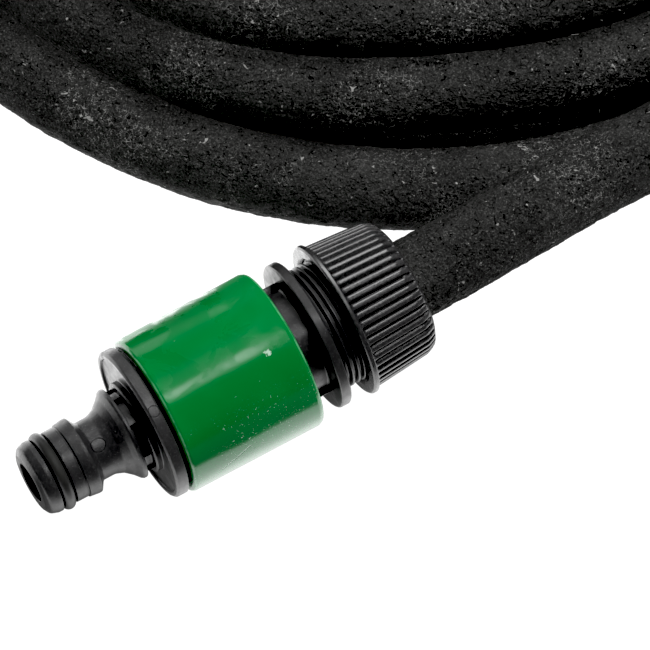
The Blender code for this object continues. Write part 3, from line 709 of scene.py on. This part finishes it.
def monotone_curve(x, at, values):
    """A cubic through the values that doesn't overshoot them."""
    gap = np.diff(at)
    rise = np.diff(values) / gap
    before, after = rise[:-1], rise[1:]
    slope = np.zeros(len(at))
    slope[1:-1] = np.where(before * after > 0, 2 * before * after / (before + after + 1e-12), 0)
    slope[0], slope[-1] = rise[0], rise[-1]
    k = np.clip(np.searchsorted(at, x) - 1, 0, len(gap) - 1)
    t = (x - at[k]) / gap[k]
    return (
        (1 + 2 * t) * (1 - t) ** 2 * values[k] + t * (1 - t) ** 2 * gap[k] * slope[k]
        + t * t * (3 - 2 * t) * values[k + 1] + t * t * (t - 1) * gap[k] * slope[k + 1]
    )


def bezier(start, start_pull, end_pull, end, count):
    t = np.linspace(0, 1, count)[:, None]
    return (
        (1 - t) ** 3 * start + 3 * (1 - t) ** 2 * t * start_pull
        + 3 * (1 - t) * t * t * end_pull + t ** 3 * end
    )


def running_length(points):
    steps = np.linalg.norm(np.diff(points, axis=0), axis=1)
    return np.concatenate([[0], np.cumsum(steps)])


def resample(points, length, at):
    return np.stack([np.interp(at, length, points[:, k]) for k in range(3)], 1)


def rough_path():
    """Straight out of the inlet, round the coil, and down to the end plug."""
    theta = np.arange(COIL_START, COIL_START + COIL_STATIONS[-1, 0], 1.0)
    at = COIL_START + COIL_STATIONS[:, 0]
    radius = monotone_curve(theta, at, COIL_STATIONS[:, 1])
    height = monotone_curve(theta, at, COIL_STATIONS[:, 2])
    angle = np.radians(theta)
    coil = np.stack([radius * np.cos(angle), radius * np.sin(angle), height], 1)

    reach = np.arange(HOSE_START, 160.1, 2.0)
    lift = smooth_step(reach, 96.0, 128.0)
    inlet = COIL_NOSE + COIL_AXIS * reach[:, None] + lift[:, None] * np.array([0.0, 0.55, 1.0])
    into = unit(coil[5] - coil[4])
    joining = bezier(inlet[-1], inlet[-1] + COIL_AXIS * 8, coil[4] - into * 8, coil[4], 8)

    last = coil[-1]
    leave = unit(coil[-1] - coil[-2])
    turn = math.radians(at[-1])

    def out_at(degrees):
        """A level direction, measured round from where the coil stops."""
        angle = turn + math.radians(degrees)
        return np.array([math.cos(angle), math.sin(angle), 0.0])

    end_start = out_at(112) * 40 + np.array([0, 0, 17.6])
    end_direction = out_at(230)
    drop = bezier(last, last + leave * 55, end_start - end_direction * 50, end_start, 60)
    stop = np.array([end_start + end_direction * reach for reach in np.arange(0, 22.1, 2)])
    return np.concatenate([inlet, joining[1:], coil[5:], drop[1:], stop[1:]])


def freedom(count, step):
    """How far each point may move: 0 at the held ends, easing up to 1."""
    held_start, held_end, ease = math.ceil(80 / step), math.ceil(30 / step), 12
    free = np.ones(count)
    free[:held_start] = 0
    free[-held_end:] = 0
    for i in range(ease):
        for k in (held_start + i, -held_end - 1 - i):
            free[k] = min(free[k], (i + 1) / ease)
    return free


def settle(path, step):
    """Pushes the turns apart and smooths them, keeping them near where they were."""
    target = path.copy()
    count = len(path)
    free = freedom(count, step)
    give = free[:, None]
    loose = free > 0
    apart = int(60 / step)             # points nearer than this along the hose aren't a pair
    number = np.arange(count)
    for pass_number in range(400):
        if pass_number % 8 == 0:
            delta = path[:, None, :] - path[None, :, :]
            distance = np.sqrt((delta ** 2).sum(2))
            near = (distance < TURN_GAP + 4) & (number[None, :] - number[:, None] > apart)
            first, second = np.where(near)
        between = path[first] - path[second]
        distance = np.linalg.norm(between, axis=1)
        push = np.clip(TURN_GAP - distance, 0, None)
        hit = push > 0
        move = np.zeros_like(path)
        hits = np.zeros(count)
        part = between[hit] / distance[hit, None] * push[hit, None] * 0.5
        for points, shift in ((first[hit], part), (second[hit], -part)):
            np.add.at(move, points, shift)
            np.add.at(hits, points, 1)
        move /= np.maximum(hits, 1)[:, None] * 0.75
        path = path + move * give
        bend = np.zeros_like(path)
        bend[2:-2] = (
            -path[4:] + 4 * path[3:-1] - 6 * path[2:-2] + 4 * path[1:-3] - path[:-4]
        ) / 16.0
        path = path + bend * give * 0.5
        path = path + (target - path) * 0.004 * give
        path[loose, 2] = np.maximum(path[loose, 2], REST)
    return path


def hose_path():
    """The hose's settled centre line in the coil's frame, a point about every 6 mm."""
    path = rough_path()
    length = running_length(path)
    count = int(round(length[-1] / 6.0)) + 1
    path = resample(path, length, np.linspace(0, length[-1], count))
    return settle(path, length[-1] / (count - 1))


def smooth_curve(path, step):
    """Catmull-Rom through the path's points, resampled to even steps."""
    points = np.concatenate([[2 * path[0] - path[1]], path, [2 * path[-1] - path[-2]]])
    p0, p1, p2, p3 = points[:-3], points[1:-2], points[2:-1], points[3:]
    out = []
    for u in np.linspace(0, 1, 12, endpoint=False):
        square = (2 * p0 - 5 * p1 + 4 * p2 - p3) * u ** 2
        cube = (-p0 + 3 * p1 - 3 * p2 + p3) * u ** 3
        out.append(0.5 * (2 * p1 + (p2 - p0) * u + square + cube))
    dense = np.stack(out, 1).reshape(-1, 3)
    dense = np.concatenate([dense, path[-1:]])
    length = running_length(dense)
    return resample(dense, length, np.arange(0, length[-1], step))


# ---------------------------------------------------------------- hose
HOSE_OUTER, HOSE_INNER = 8.6, 6.0  # radii
PRESSED_HEIGHT = 0.12              # skin below this is squeezed to a tenth of its depth
LIP_RINGS = 40                     # rings of bore wall modelled at each open end
PIECE_POINTS = 95000               # most points in one piece
FINE_STEP = 0.5
COARSE_STEP = 1.25
FINE_AROUND = 120
COARSE_AROUND = 60

centre_line = smooth_curve(hose_path() - ORIGIN, FINE_STEP)
tangent = np.gradient(centre_line, axis=0)
tangent /= np.linalg.norm(tangent, axis=1)[:, None]
upward = np.array([0, 0, 1.0]) - tangent * tangent[:, 2:3]
upward /= np.linalg.norm(upward, axis=1)[:, None]
sideways = np.cross(tangent, upward)


def skin_height(points, fine):
    """How far the rough skin stands off the round, in mm."""
    # height, feature size, seed
    swells = ((0.36, 15.0, 11), (0.24, 5.2, 12), (0.20, 2.1, 13))
    height = sum(tall * (value_noise(points, size, seed) - 0.5) for tall, size, seed in swells)
    if fine:
        wander = np.stack([value_noise(points, 1.7, seed) for seed in (21, 22, 23)], 1)
        height += 0.16 * (0.5 - scatter_distance(points + 0.9 * wander, 1.25, 5))
        height -= 0.20 * smooth_step(value_noise(points, 1.5, 14), 0.66, 0.80)
        height += 0.16 * (value_noise(points, 0.9, 15) - 0.5)
    return height


def hose_piece(name, start, stop, every, around, fine):
    index = np.arange(start, stop, every)
    if index[-1] != stop - 1:
        index = np.append(index, stop - 1)
    angle = full_circle(around)[None, :, None]
    middle = centre_line[index][:, None, :]
    ring = np.cos(angle) * sideways[index][:, None, :] + np.sin(angle) * upward[index][:, None, :]
    round_skin = middle + ring * HOSE_OUTER
    height = skin_height(round_skin.reshape(-1, 3), fine).reshape(len(index), around)
    points = middle + ring * (HOSE_OUTER + height)[..., None]
    z = points[..., 2]
    points[..., 2] = np.where(z < PRESSED_HEIGHT, PRESSED_HEIGHT - (PRESSED_HEIGHT - z) * 0.1, z)
    bore = middle + ring * HOSE_INNER
    if start == 0:
        points = np.concatenate([bore[:LIP_RINGS][::-1], points])
    elif stop == len(centre_line):
        points = np.concatenate([points, bore[-LIP_RINGS:][::-1]])
    return grid_mesh(name, points, HOSE_MAT, Matrix.Identity(4), "hose_line")


def build_hose():
    """Runs of finely cut hose in and near the camera's view, and coarse hose elsewhere."""
    offset = centre_line - CAMERA_PLACE
    reach = FINE_SLOPE * -(offset @ CAMERA_BACK)
    seen = (np.abs(offset[:, 0]) < reach) & (np.abs(offset @ CAMERA_UP) < reach)
    count = len(seen)
    edges = [0] + [k for k in range(1, count) if seen[k] != seen[k - 1]] + [count]
    pieces = []
    for start, stop in zip(edges[:-1], edges[1:]):
        fine = bool(seen[start])
        around = FINE_AROUND if fine else COARSE_AROUND
        every = 1 if fine else round(COARSE_STEP / FINE_STEP)
        longest = int(PIECE_POINTS / around) * every
        parts = max(1, math.ceil((stop - start) / longest))
        cuts = [start + (stop - start) * k // parts for k in range(parts + 1)]
        for first, last in zip(cuts[:-1], cuts[1:]):
            name = f"hose_skin_{len(pieces) + 1:02d}"
            pieces.append(hose_piece(name, first, min(last + 1, count), every, around, fine))
    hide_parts("soaker_hose")


build_hose()

# ---------------------------------------------------------------- coupler
# Outlines are (station along the axis, radius, fillet).
COUPLER_OUTLINE = [
    (0, 4.6, 0.15), (0, 6.2, 0.9), (0.75, 7.5, 1.2), (2.4, 8.05, 1.2), (3.45, 8.05, 0.18),
    (3.45, 6.1, 0.1), (6.65, 6.1, 0.1), (6.65, 7.95, 0.18), (9.15, 7.95, 0.1), (9.25, 7.75, 0.05),
    (9.45, 7.8, 0.05), (9.55, 8.2, 0.15), (11.5, 8.45, 0.3), (12.2, 8.45, 0.3), (13.3, 6.8, 0.3),
    (13.7, 6.55, 0.4), (16.4, 6.55, 2.0), (18.2, 7.25, 1.5), (19.9, 8.7, 1.2), (20.9, 9.85, 0.3),
    (21.3, 10.1, 0.15), (21.9, 10.1, 0.12), (21.9, 8.3, 0.2), (23.9, 8.3, 0.2), (23.9, 9.8, 0.12),
    (24.2, 10.15, 0.15), (25.5, 10.15, 0.2), (25.5, 15.1, 0.12), (25.2, 15.25, 0.08),
    (25.0, 15.45, 0.12), (25.0, 16.2, 0.25), (25.5, 16.7, 0.3), (27.55, 16.7, 0.25),
    (27.9, 16.4, 0.15), (27.9, 10.1, 0.2), (31.6, 10.1, 0.2), (32.9, 8.7, 1.0), (36.3, 6.55, 1.5),
    (39.4, 6.6, 0.2), (40.6, 8.45, 0.3), (41.3, 8.45, 0.3), (43.6, 7.95, 0.2), (46.1, 7.95, 0.15),
    (46.1, 6.1, 0.1), (49.4, 6.1, 0.1), (49.4, 8.05, 0.15), (51.0, 8.05, 0.5), (52.4, 7.4, 0.6),
    (COUPLER_LENGTH, 6.4, 0.3),
]
COUPLER_BORE = [(0, 4.34, 0.3), (COUPLER_LENGTH, 4.34, 0.2)]
TAB_COUNT = 8


def build_coupler():
    coupler = turned(
        "coupler_skin", COUPLER_OUTLINE, COUPLER_BORE, NOSE_MAT, INLET, "coupler",
        segments=288, longest=0.5,
    )
    stand_for(coupler, "coupler_body")
    for k in range(TAB_COUNT):             # tabs in the groove before the flange, near black as painted shade of the groove
        tab = rounded_box(
            f"coupler_tab_{k + 1}", centre=(8.3, 0, 22.9), size=(1.6, 0.8, 2.1), place=INLET,
            material=GROOVE_SHADE_MAT, body="coupler", bevel=0.2,
            turn=math.radians(88 + 360 / TAB_COUNT * k),
        )


def build_oring(which, station):
    angle = full_circle(40)
    profile = np.stack([station + 1.33 * np.sin(angle), 7.32 + 1.3 * np.cos(angle)], 1)
    grids = spin(profile, full_circle(240))
    oring = ring_mesh(f"oring_{which}_skin", *grids, SEAL_MAT, INLET, "coupler")
    stand_for(oring, f"coupler_oring_{which}")


def build_reducer():
    """The flow reducer in the nose: a cage with three vanes across it, and a disc."""
    cage = turned(
        "reducer_cage_skin", [(2.2, 3.4, 0.2), (2.4, 4.05, 0.2), (10, 4.1, 0.1)],
        [(2.2, 3.1, 0.2), (8.6, 3.1, 0.1), (8.6, 1.5, 0.1), (10, 1.5, 0.1)],
        NUT_MAT, INLET, "coupler", segments=96,
    )
    stand_for(cage, "flow_reducer_cage")
    for k in range(3):
        vane = rounded_box(
            f"reducer_vane_skin_{k + 1}", centre=(0, 0, 3.6), size=(6.6, 0.85, 2.4), place=INLET,
            material=NUT_MAT, body="coupler", bevel=0.2, turn=k * math.pi / 3 + 0.3,
        )
    disc = turned(
        "reducer_disc_skin", [(6.5, 2.85), (8.3, 2.85)], [(6.5, 0.6), (8.3, 0.6)],
        SEAL_MAT, INLET, "coupler", segments=72,
    )
    stand_for(disc, "flow_reducer_disc")


build_coupler()
build_oring("front", station=5.05)
build_oring("rear", station=47.75)
build_reducer()

# ---------------------------------------------------------------- sleeve and socket
SLEEVE_OUTLINE = [
    (28.6, 15.8, 0.3), (28.6, 16.35, 0.3), (28.95, 17.05, 0.3), (29.5, 17.3, 0.4),
    (58.2, 17.5, 0.9), (59.15, 17.1, 0.5), (59.4, 16.2, 0.3),
]
SLEEVE_BORE = [
    (28.6, 15.5, 0.3), (35.4, 15.8, 0.2), (35.6, 14.45, 0.2), (40.5, 12.3, 0.2),
    (42.5, 12.3, 0.2), (42.5, 15.8, 0.2), (59.4, 15.8, 0.4),
]


def uneven_sleeve(s, r, angle):
    points = round_axis(s, r, angle).reshape(-1, 3)
    return r + 0.03 * (value_noise(points, size=6.0, seed=31).reshape(r.shape) - 0.5)


def build_sleeve():
    sleeve = turned(
        "sleeve_skin", SLEEVE_OUTLINE, SLEEVE_BORE, GREEN_MAT, INLET, "sleeve",
        segments=320, longest=0.6, reshape=uneven_sleeve,
    )
    stand_for(sleeve, "release_sleeve")
    stop = turned(
        "stop_ring_skin", [(56.6, 15.2), (57.9, 15.2)], [(56.6, 12.1), (57.9, 12.1)],
        RING_MAT, INLET, "hose_line", segments=160,
    )
    stand_for(stop, "sleeve_stop_ring")


def colour_socket():
    """The CAD pieces kept as they are, with a new material."""
    claws = [(f"locking_claw_{k}", RING_MAT) for k in (1, 2, 3)]
    for node, material in [("connector_socket", RING_MAT), ("barrel_seal", SEAL_MAT)] + claws:
        NODES[node].data.materials.clear()
        NODES[node].data.materials.append(material)


def build_spring():
    turns, start, length = 4.5, 43.5, 12.4
    coil_radius, wire_radius = 13.75, 0.6
    wire_angle = full_circle(16)[None, :, None]
    turn = np.linspace(0, turns, 4 * 90 + 1)
    angle = FULL_TURN * turn
    radial = np.stack([np.cos(angle), np.sin(angle), np.zeros_like(angle)], -1)
    middle = coil_radius * radial
    middle[:, 2] = start + length * turn / turns
    axial = np.array([0, 0, 1.0])
    wire = np.cos(wire_angle) * radial[:, None, :] + np.sin(wire_angle) * axial
    points = middle[:, None, :] + wire_radius * wire
    spring = grid_mesh("spring_skin", points, STEEL_MAT, INLET, "hose_line")
    stand_for(spring, "sleeve_spring")
    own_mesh(spring)


build_sleeve()
colour_socket()
build_spring()

# ---------------------------------------------------------------- barrels
# Shared stations are given for the inlet; the end plug's are END_SHIFT less.
PITCH = 1.4
THREAD_ROOT, THREAD_CREST = 12.2, 13.5
BARREL_COLLAR = [
    (63.6, 11.1, 0.4), (63.95, 11.5, 0.3), (64.0, 16.1, 0.25), (64.3, 16.4, 0.3),
    (66.0, 16.4, 0.3), (66.3, 16.1, 0.25), (66.3, 12.4, 0.3), (66.6, THREAD_ROOT, 0.1),
]
BARREL_THREAD = [(float(s), THREAD_ROOT, 0.0) for s in np.arange(66.8, 79.6, 0.1)]
BARREL_TAIL = [                    # the threaded skirt's mouth, then the barbed spigot inside it
    (80.0, THREAD_ROOT, 0.2), (80.0, 11.4, 0.2), (69.0, 11.4, 0.2), (69.0, 4.8, 0.2),
    (77.0, 4.8, 0.1), (77.0, 5.2, 0.1), (80.0, 4.7, 0.1), (80.0, 5.2, 0.1), (83.0, 4.7, 0.1),
    (83.0, 5.2, 0.1), (89.0, 4.1, 0.3),
]
INLET_FRONT = [(55.7, 9.6), (56.0, 9.9), (58.3, 9.9), (58.35, 10.8, 0.3), (58.7, 11.1, 0.3)]
INLET_BORE = [(55.7, 3.6), (89.0, 3.6)]
PLUG_FRONT = [(0.0, 0.02, 0.0), (0.0, 9.4, 0.5), (0.25, 9.7, 0.5), (1.6, 11.1, 1.0)]
PLUG_BORE = [(15.0, 0.02, 0.0), (16.0, 3.0), (31.0, 3.0)]


def build_barrel(prefix, shift, place, front, bore, node):
    start, end = 66.9 - shift, 79.5 - shift

    def cut_thread(s, r, angle):
        on_thread = (np.abs(r - THREAD_ROOT) < 0.35) & (s > start) & (s < end)
        phase = (s / PITCH - angle / FULL_TURN) % 1.0
        ridge = smooth_step(phase, 0.10, 0.30) * (1 - smooth_step(phase, 0.62, 0.82))
        fade = smooth_step(s, start, start + 0.5) * (1 - smooth_step(s, end - 0.5, end))
        return np.where(on_thread, r + (THREAD_CREST - THREAD_ROOT) * ridge * fade, r)

    shared = [(s - shift, *rest) for s, *rest in BARREL_COLLAR + BARREL_THREAD + BARREL_TAIL]
    skin = turned(
        prefix + "_skin", front + shared, bore, BODY_MAT, place, "hose_line",
        segments=256, longest=0.7, reshape=cut_thread,
    )
    stand_for(skin, node)
    for side, sign in (("a", 1), ("b", -1)):
        rib = rounded_box(
            f"{prefix}_rib_{side}", centre=(sign * 11.3, 0, 61.3 - shift), size=(2.5, 1.7, 5.6),
            place=place, material=BODY_MAT, body="hose_line", bevel=0.3,
        )


build_barrel("barrel", 0.0, INLET, INLET_FRONT, INLET_BORE, "connector_barrel")
build_barrel("end_barrel", END_SHIFT, END, PLUG_FRONT, PLUG_BORE, "end_plug")

# ---------------------------------------------------------------- clamp rings
CLAMP_OUTLINE = [                  # station, radius
    (77.5, 10.5), (79.0, 10.95), (84.7, 10.95), (84.7, 12.8),
    (86.3, 12.8), (86.3, 9.15), (77.5, 9.15),
]
CLAMP_SPLIT, CLAMP_SPLIT_HALF = 0.9, 0.07  # where the ring is split and half the gap, radians


def build_clamp_ring(end, shift, place):
    outline = fillet([(s - shift, r) for s, r in CLAMP_OUTLINE], default=0.2)
    angles = np.linspace(
        CLAMP_SPLIT + CLAMP_SPLIT_HALF, CLAMP_SPLIT + FULL_TURN - CLAMP_SPLIT_HALF, 181
    )
    name = f"clamp_ring_{end}"
    grids = spin(subdivide(outline, 0.8), angles)
    stand_for(ring_mesh(name + "_skin", *grids, RING_MAT, place, name, closed=False), name)


for end_values in ENDS:
    build_clamp_ring(*end_values)

# ---------------------------------------------------------------- nuts
NUT_RIBS, NUT_RIB_SEGMENTS = 50, 14
NUT_RIB_PHASE = 0.35
NUT_RIB_START = 0.36               # a groove fills the rib pitch up to here, then a rib
NUT_BORE = 13.95
NUT_OUTLINE = [                    # station, radius, fillet; from the mouth to the rear and in
    (71.3, 14.6, 0.1), (71.3, 16.6, 0.3), (71.65, 17.0, 0.3), (72.45, 17.0, 0.3),
    (72.75, 16.3, 0.15), (73.1, 16.08, 0.3), (80.8, 15.45, 2.0), (85.4, 15.05, 2.0),
    (87.4, 14.2, 0.9), (88.2, 12.6, 0.7), (88.3, 11.6, 0.3), (87.9, 10.6, 0.3), (86.9, 9.6, 0.3),
    (86.75, 11.0, 0.1), (86.75, 13.85, 0.2), (86.0, NUT_BORE, 0.1),
]
NUT_INSIDE = [(float(s), NUT_BORE, 0.0) for s in np.arange(85.9, 72.0, -0.1)]
NUT_MOUTH = [(71.9, NUT_BORE, 0.1), (71.5, 14.3, 0.1)]


def nut_ribs(s, r, angle):
    """The radius with grooves and gently crowned ribs along the outside."""
    part = (angle * NUT_RIBS / FULL_TURN + NUT_RIB_PHASE) % 1.0
    groove = smooth_step(part, 0.0, 0.09) * (1 - smooth_step(part, 0.27, NUT_RIB_START))
    across = np.clip((part - NUT_RIB_START) / (1 - NUT_RIB_START), 0, 1)
    crown = 0.30 * (1 - np.abs(2 * across - 1) ** 4.0) - 0.16
    crown = np.where(part > NUT_RIB_START, crown, 0.0)
    outside = (r > 14.0) & (s > 72.6)
    depth = 0.95 * smooth_step(s, 72.6, 72.9) * (1 - smooth_step(s, 86.2, 87.9))
    crown_fade = smooth_step(s, 72.7, 73.0) * (1 - smooth_step(s, 86.5, 87.8))
    points = np.stack([angle * 15, s, r], -1).reshape(-1, 3)
    noise = value_noise(points, size=2.5, seed=44).reshape(r.shape)
    ribbed = r - groove * depth * (0.9 + 0.2 * noise) + crown * crown_fade
    return np.where(outside, ribbed, r)


def nut_thread(s, r, angle, profile_radius):
    phase = (s / PITCH - angle / FULL_TURN) % 1.0
    crest = (1 - smooth_step(phase, 0.02, 0.22)) + smooth_step(phase, 0.70, 0.90)
    bore = (np.abs(profile_radius - NUT_BORE) < 0.06) & (s > 71.8) & (s < 80)
    return np.where(bore, r - 0.75 * np.clip(crest, 0, 1) * smooth_step(s, 71.8, 72.6), r)


def build_nut(end, shift, place):
    outline = fillet(NUT_OUTLINE + NUT_INSIDE + NUT_MOUTH, default=0.2)
    grids = spin(subdivide(outline, 0.35), full_circle(NUT_RIBS * NUT_RIB_SEGMENTS))
    s, profile_radius, angle = grids
    r = nut_thread(s, nut_ribs(*grids), angle, profile_radius)
    name = f"nut_{end}"
    skin = ring_mesh(name + "_skin", s - shift, r, angle, NUT_MAT, place, name)
    stand_for(skin, f"ribbed_nut_{end}")


for end_values in ENDS:
    build_nut(*end_values)

# ---------------------------------------------------------------- floor
FLOOR_HALF = 6.0                   # metres
# Edges of the lit band, in metres across the fitting's axis towards the camera's side (-Y):
# span, and the light before and after it.
NEAR_LIMIT = ((0.046, 0.050), (1.0, 0.0))
NEAR_EDGE = ((0.006, 0.022), (0.0, 1.0))
FAR_EDGE = ((-0.022, -0.006), (1.0, 0.0))


def floor_material():
    """A white sheet. In reflections only, it glows with painted light: a painted shadow under the
    fitting and beyond the near limit, and a painted pool of light elsewhere, as under one small
    overhead lamp."""
    mat = new_material("pale_floor")
    mat.set(Base_Color=grey(0.9), Roughness=0.9, Specular_IOR_Level=0.1)
    rays = mat.new("ShaderNodeLightPath").outputs
    white = mat.new("ShaderNodeEmission", {"Color": grey(1), "Strength": 1.16})

    flat_x, flat_y = AXIS[:2] / math.hypot(AXIS[0], AXIS[1])
    position = mat.new("ShaderNodeNewGeometry").outputs["Position"]
    across = mat.vector_math("DOT_PRODUCT", position, (float(flat_y), float(-flat_x), 0))
    middle = float(np.dot(NOSE[:2], [flat_y, -flat_x])) * MM
    near_limit, near_edge, far_edge = (
        mat.ramp(across, span=(middle + span[0], middle + span[1]), to=to)
        for span, to in (NEAR_LIMIT, NEAR_EDGE, FAR_EDGE)
    )
    lit = mat.times(mat.most(near_edge, far_edge), near_limit)
    strength = mat.plus(mat.times(lit, 2.4), 0.28)
    glow = mat.new("ShaderNodeEmission", {"Strength": strength})

    inputs = {0: rays["Is Glossy Ray"], 1: mat.shader.outputs[0], 2: glow.outputs[0]}
    mirrored = mat.new("ShaderNodeMixShader", inputs)
    to_camera = mat.times(rays["Is Camera Ray"], 0.9)
    inputs = {0: to_camera, 1: mirrored.outputs[0], 2: white.outputs[0]}
    surface = mat.new("ShaderNodeMixShader", inputs).outputs[0]
    mat.put(mat.tree.nodes["Material Output"].inputs["Surface"], surface)
    return mat.owner


def build_floor():
    mesh = bpy.data.meshes.new("floor")
    corners = [(x * FLOOR_HALF, y * FLOOR_HALF, 0) for x, y in ((-1, -1), (1, -1), (1, 1), (-1, 1))]
    mesh.from_pydata(corners, [], [(0, 1, 2, 3)])
    floor = bpy.data.objects.new("floor", mesh)
    bpy.context.scene.collection.objects.link(floor)
    mesh.materials.append(floor_material())


build_floor()


# ---------------------------------------------------------------- world and lights
def build_world():
    """White to the camera, faint all round, and a little less faint in reflections."""
    world = bpy.data.worlds.new("studio")
    bpy.context.scene.world = world
    graph = Graph(world, "Background")
    rays = graph.new("ShaderNodeLightPath").outputs

    def choose(ray, otherwise, value):
        inputs = {0: rays[ray], 2: otherwise, 3: value}   # 2 and 3 are the float sockets
        return graph.new("ShaderNodeMix", inputs, data_type="FLOAT").outputs[0]

    level = choose("Is Glossy Ray", otherwise=0.008, value=0.03)
    strength = choose("Is Camera Ray", otherwise=level, value=1.1)
    graph.set(Color=grey(1), Strength=strength)


def softbox(name, toward, distance, width, radiance, height=None, diffuse=True, glossy=True):
    """A rectangular soft light of even radiance facing the camera's target. Sizes in metres."""
    focus = Vector(tuple(CAMERA_TARGET * MM))
    data = bpy.data.lights.new(name, "AREA")
    data.shape = "RECTANGLE"
    data.size = width
    data.size_y = height or width
    data.energy = radiance * math.pi * data.size * data.size_y
    light = bpy.data.objects.new(name, data)
    bpy.context.scene.collection.objects.link(light)
    light.location = focus + Vector(toward).normalized() * distance
    light.rotation_mode = "QUATERNION"
    light.rotation_quaternion = (focus - light.location).to_track_quat("-Z", "Y")
    light.visible_camera = False
    light.visible_diffuse = diffuse
    light.visible_glossy = glossy
    return light


def gather(name, wanted):
    """A collection of the rendered meshes that are wanted."""
    group = bpy.data.collections.new(name)
    for obj in bpy.data.objects:
        if obj.type == "MESH" and not obj.hide_render and wanted(obj):
            group.objects.link(obj)
    return group


def only_on(light, materials):
    """Lets a light fall only on the parts made of these materials."""
    light.light_linking.receiver_collection = gather(
        light.name + "_on",
        lambda obj: obj.data.materials and obj.data.materials[0] in materials,
    )


build_world()
LAMP_TOWARD = (0.2, -0.1, 0.97)
key = softbox(
    "key", toward=(0.2, 0.22, 0.95), distance=1.25, width=0.6, radiance=15.0, glossy=False
)
softbox(
    "key_close", toward=(0.04, 0.03, 1.0), distance=1.24, width=0.6, radiance=5.0, glossy=False
)
softbox("lamp", toward=LAMP_TOWARD, distance=1.2, width=0.22, radiance=7.0)
softbox(
    "back_card", toward=(-0.33, 0.92, 0.25), distance=1.0, width=1.0, height=0.42,
    radiance=1.2, diffuse=False,
)
# The key reaches into the grooves between the turns: the hose casts no shadow from it.
key.light_linking.blocker_collection = gather(
    "key_shaders", lambda obj: not obj.name.startswith("hose_skin")
)
# soft lights that only the black mouldings reflect
rib_card = softbox(
    "rib_card", toward=(-0.12, 0.62, 0.8), distance=1.1, width=0.9, height=0.8,
    radiance=8.0, diffuse=False,
)
only_on(rib_card, [NUT_MAT])
black_lamp = softbox(
    "black_lamp", toward=LAMP_TOWARD, distance=1.2, width=0.34, radiance=7.5, diffuse=False
)
only_on(black_lamp, [BODY_MAT, NOSE_MAT, NUT_MAT])
black_card = softbox(
    "black_card", toward=(-0.3, 0.5, 0.8), distance=1.1, width=0.9, height=0.7,
    radiance=1.5, diffuse=False,
)
only_on(black_card, [BODY_MAT, NOSE_MAT])


# ---------------------------------------------------------------- camera and picture
def build_camera():
    data = bpy.data.cameras.new("camera")
    data.sensor_width = CAMERA_SENSOR
    data.lens = CAMERA_LENS
    data.clip_start, data.clip_end = 0.1, 20
    camera = bpy.data.objects.new("camera", data)
    bpy.context.scene.collection.objects.link(camera)
    camera.location = Vector(tuple(CAMERA_PLACE * MM))
    camera.rotation_mode = "QUATERNION"
    camera.rotation_quaternion = Vector(tuple(-CAMERA_BACK)).to_track_quat("-Z", "Y")
    bpy.context.scene.camera = camera


build_camera()
view = bpy.context.scene.view_settings
view.view_transform = "Standard"
view.look = "None"
view.use_curve_mapping = True      # a raised black level gives deep blacks
view.curve_mapping.black_level = (0.023, 0.023, 0.023)
view.curve_mapping.update()
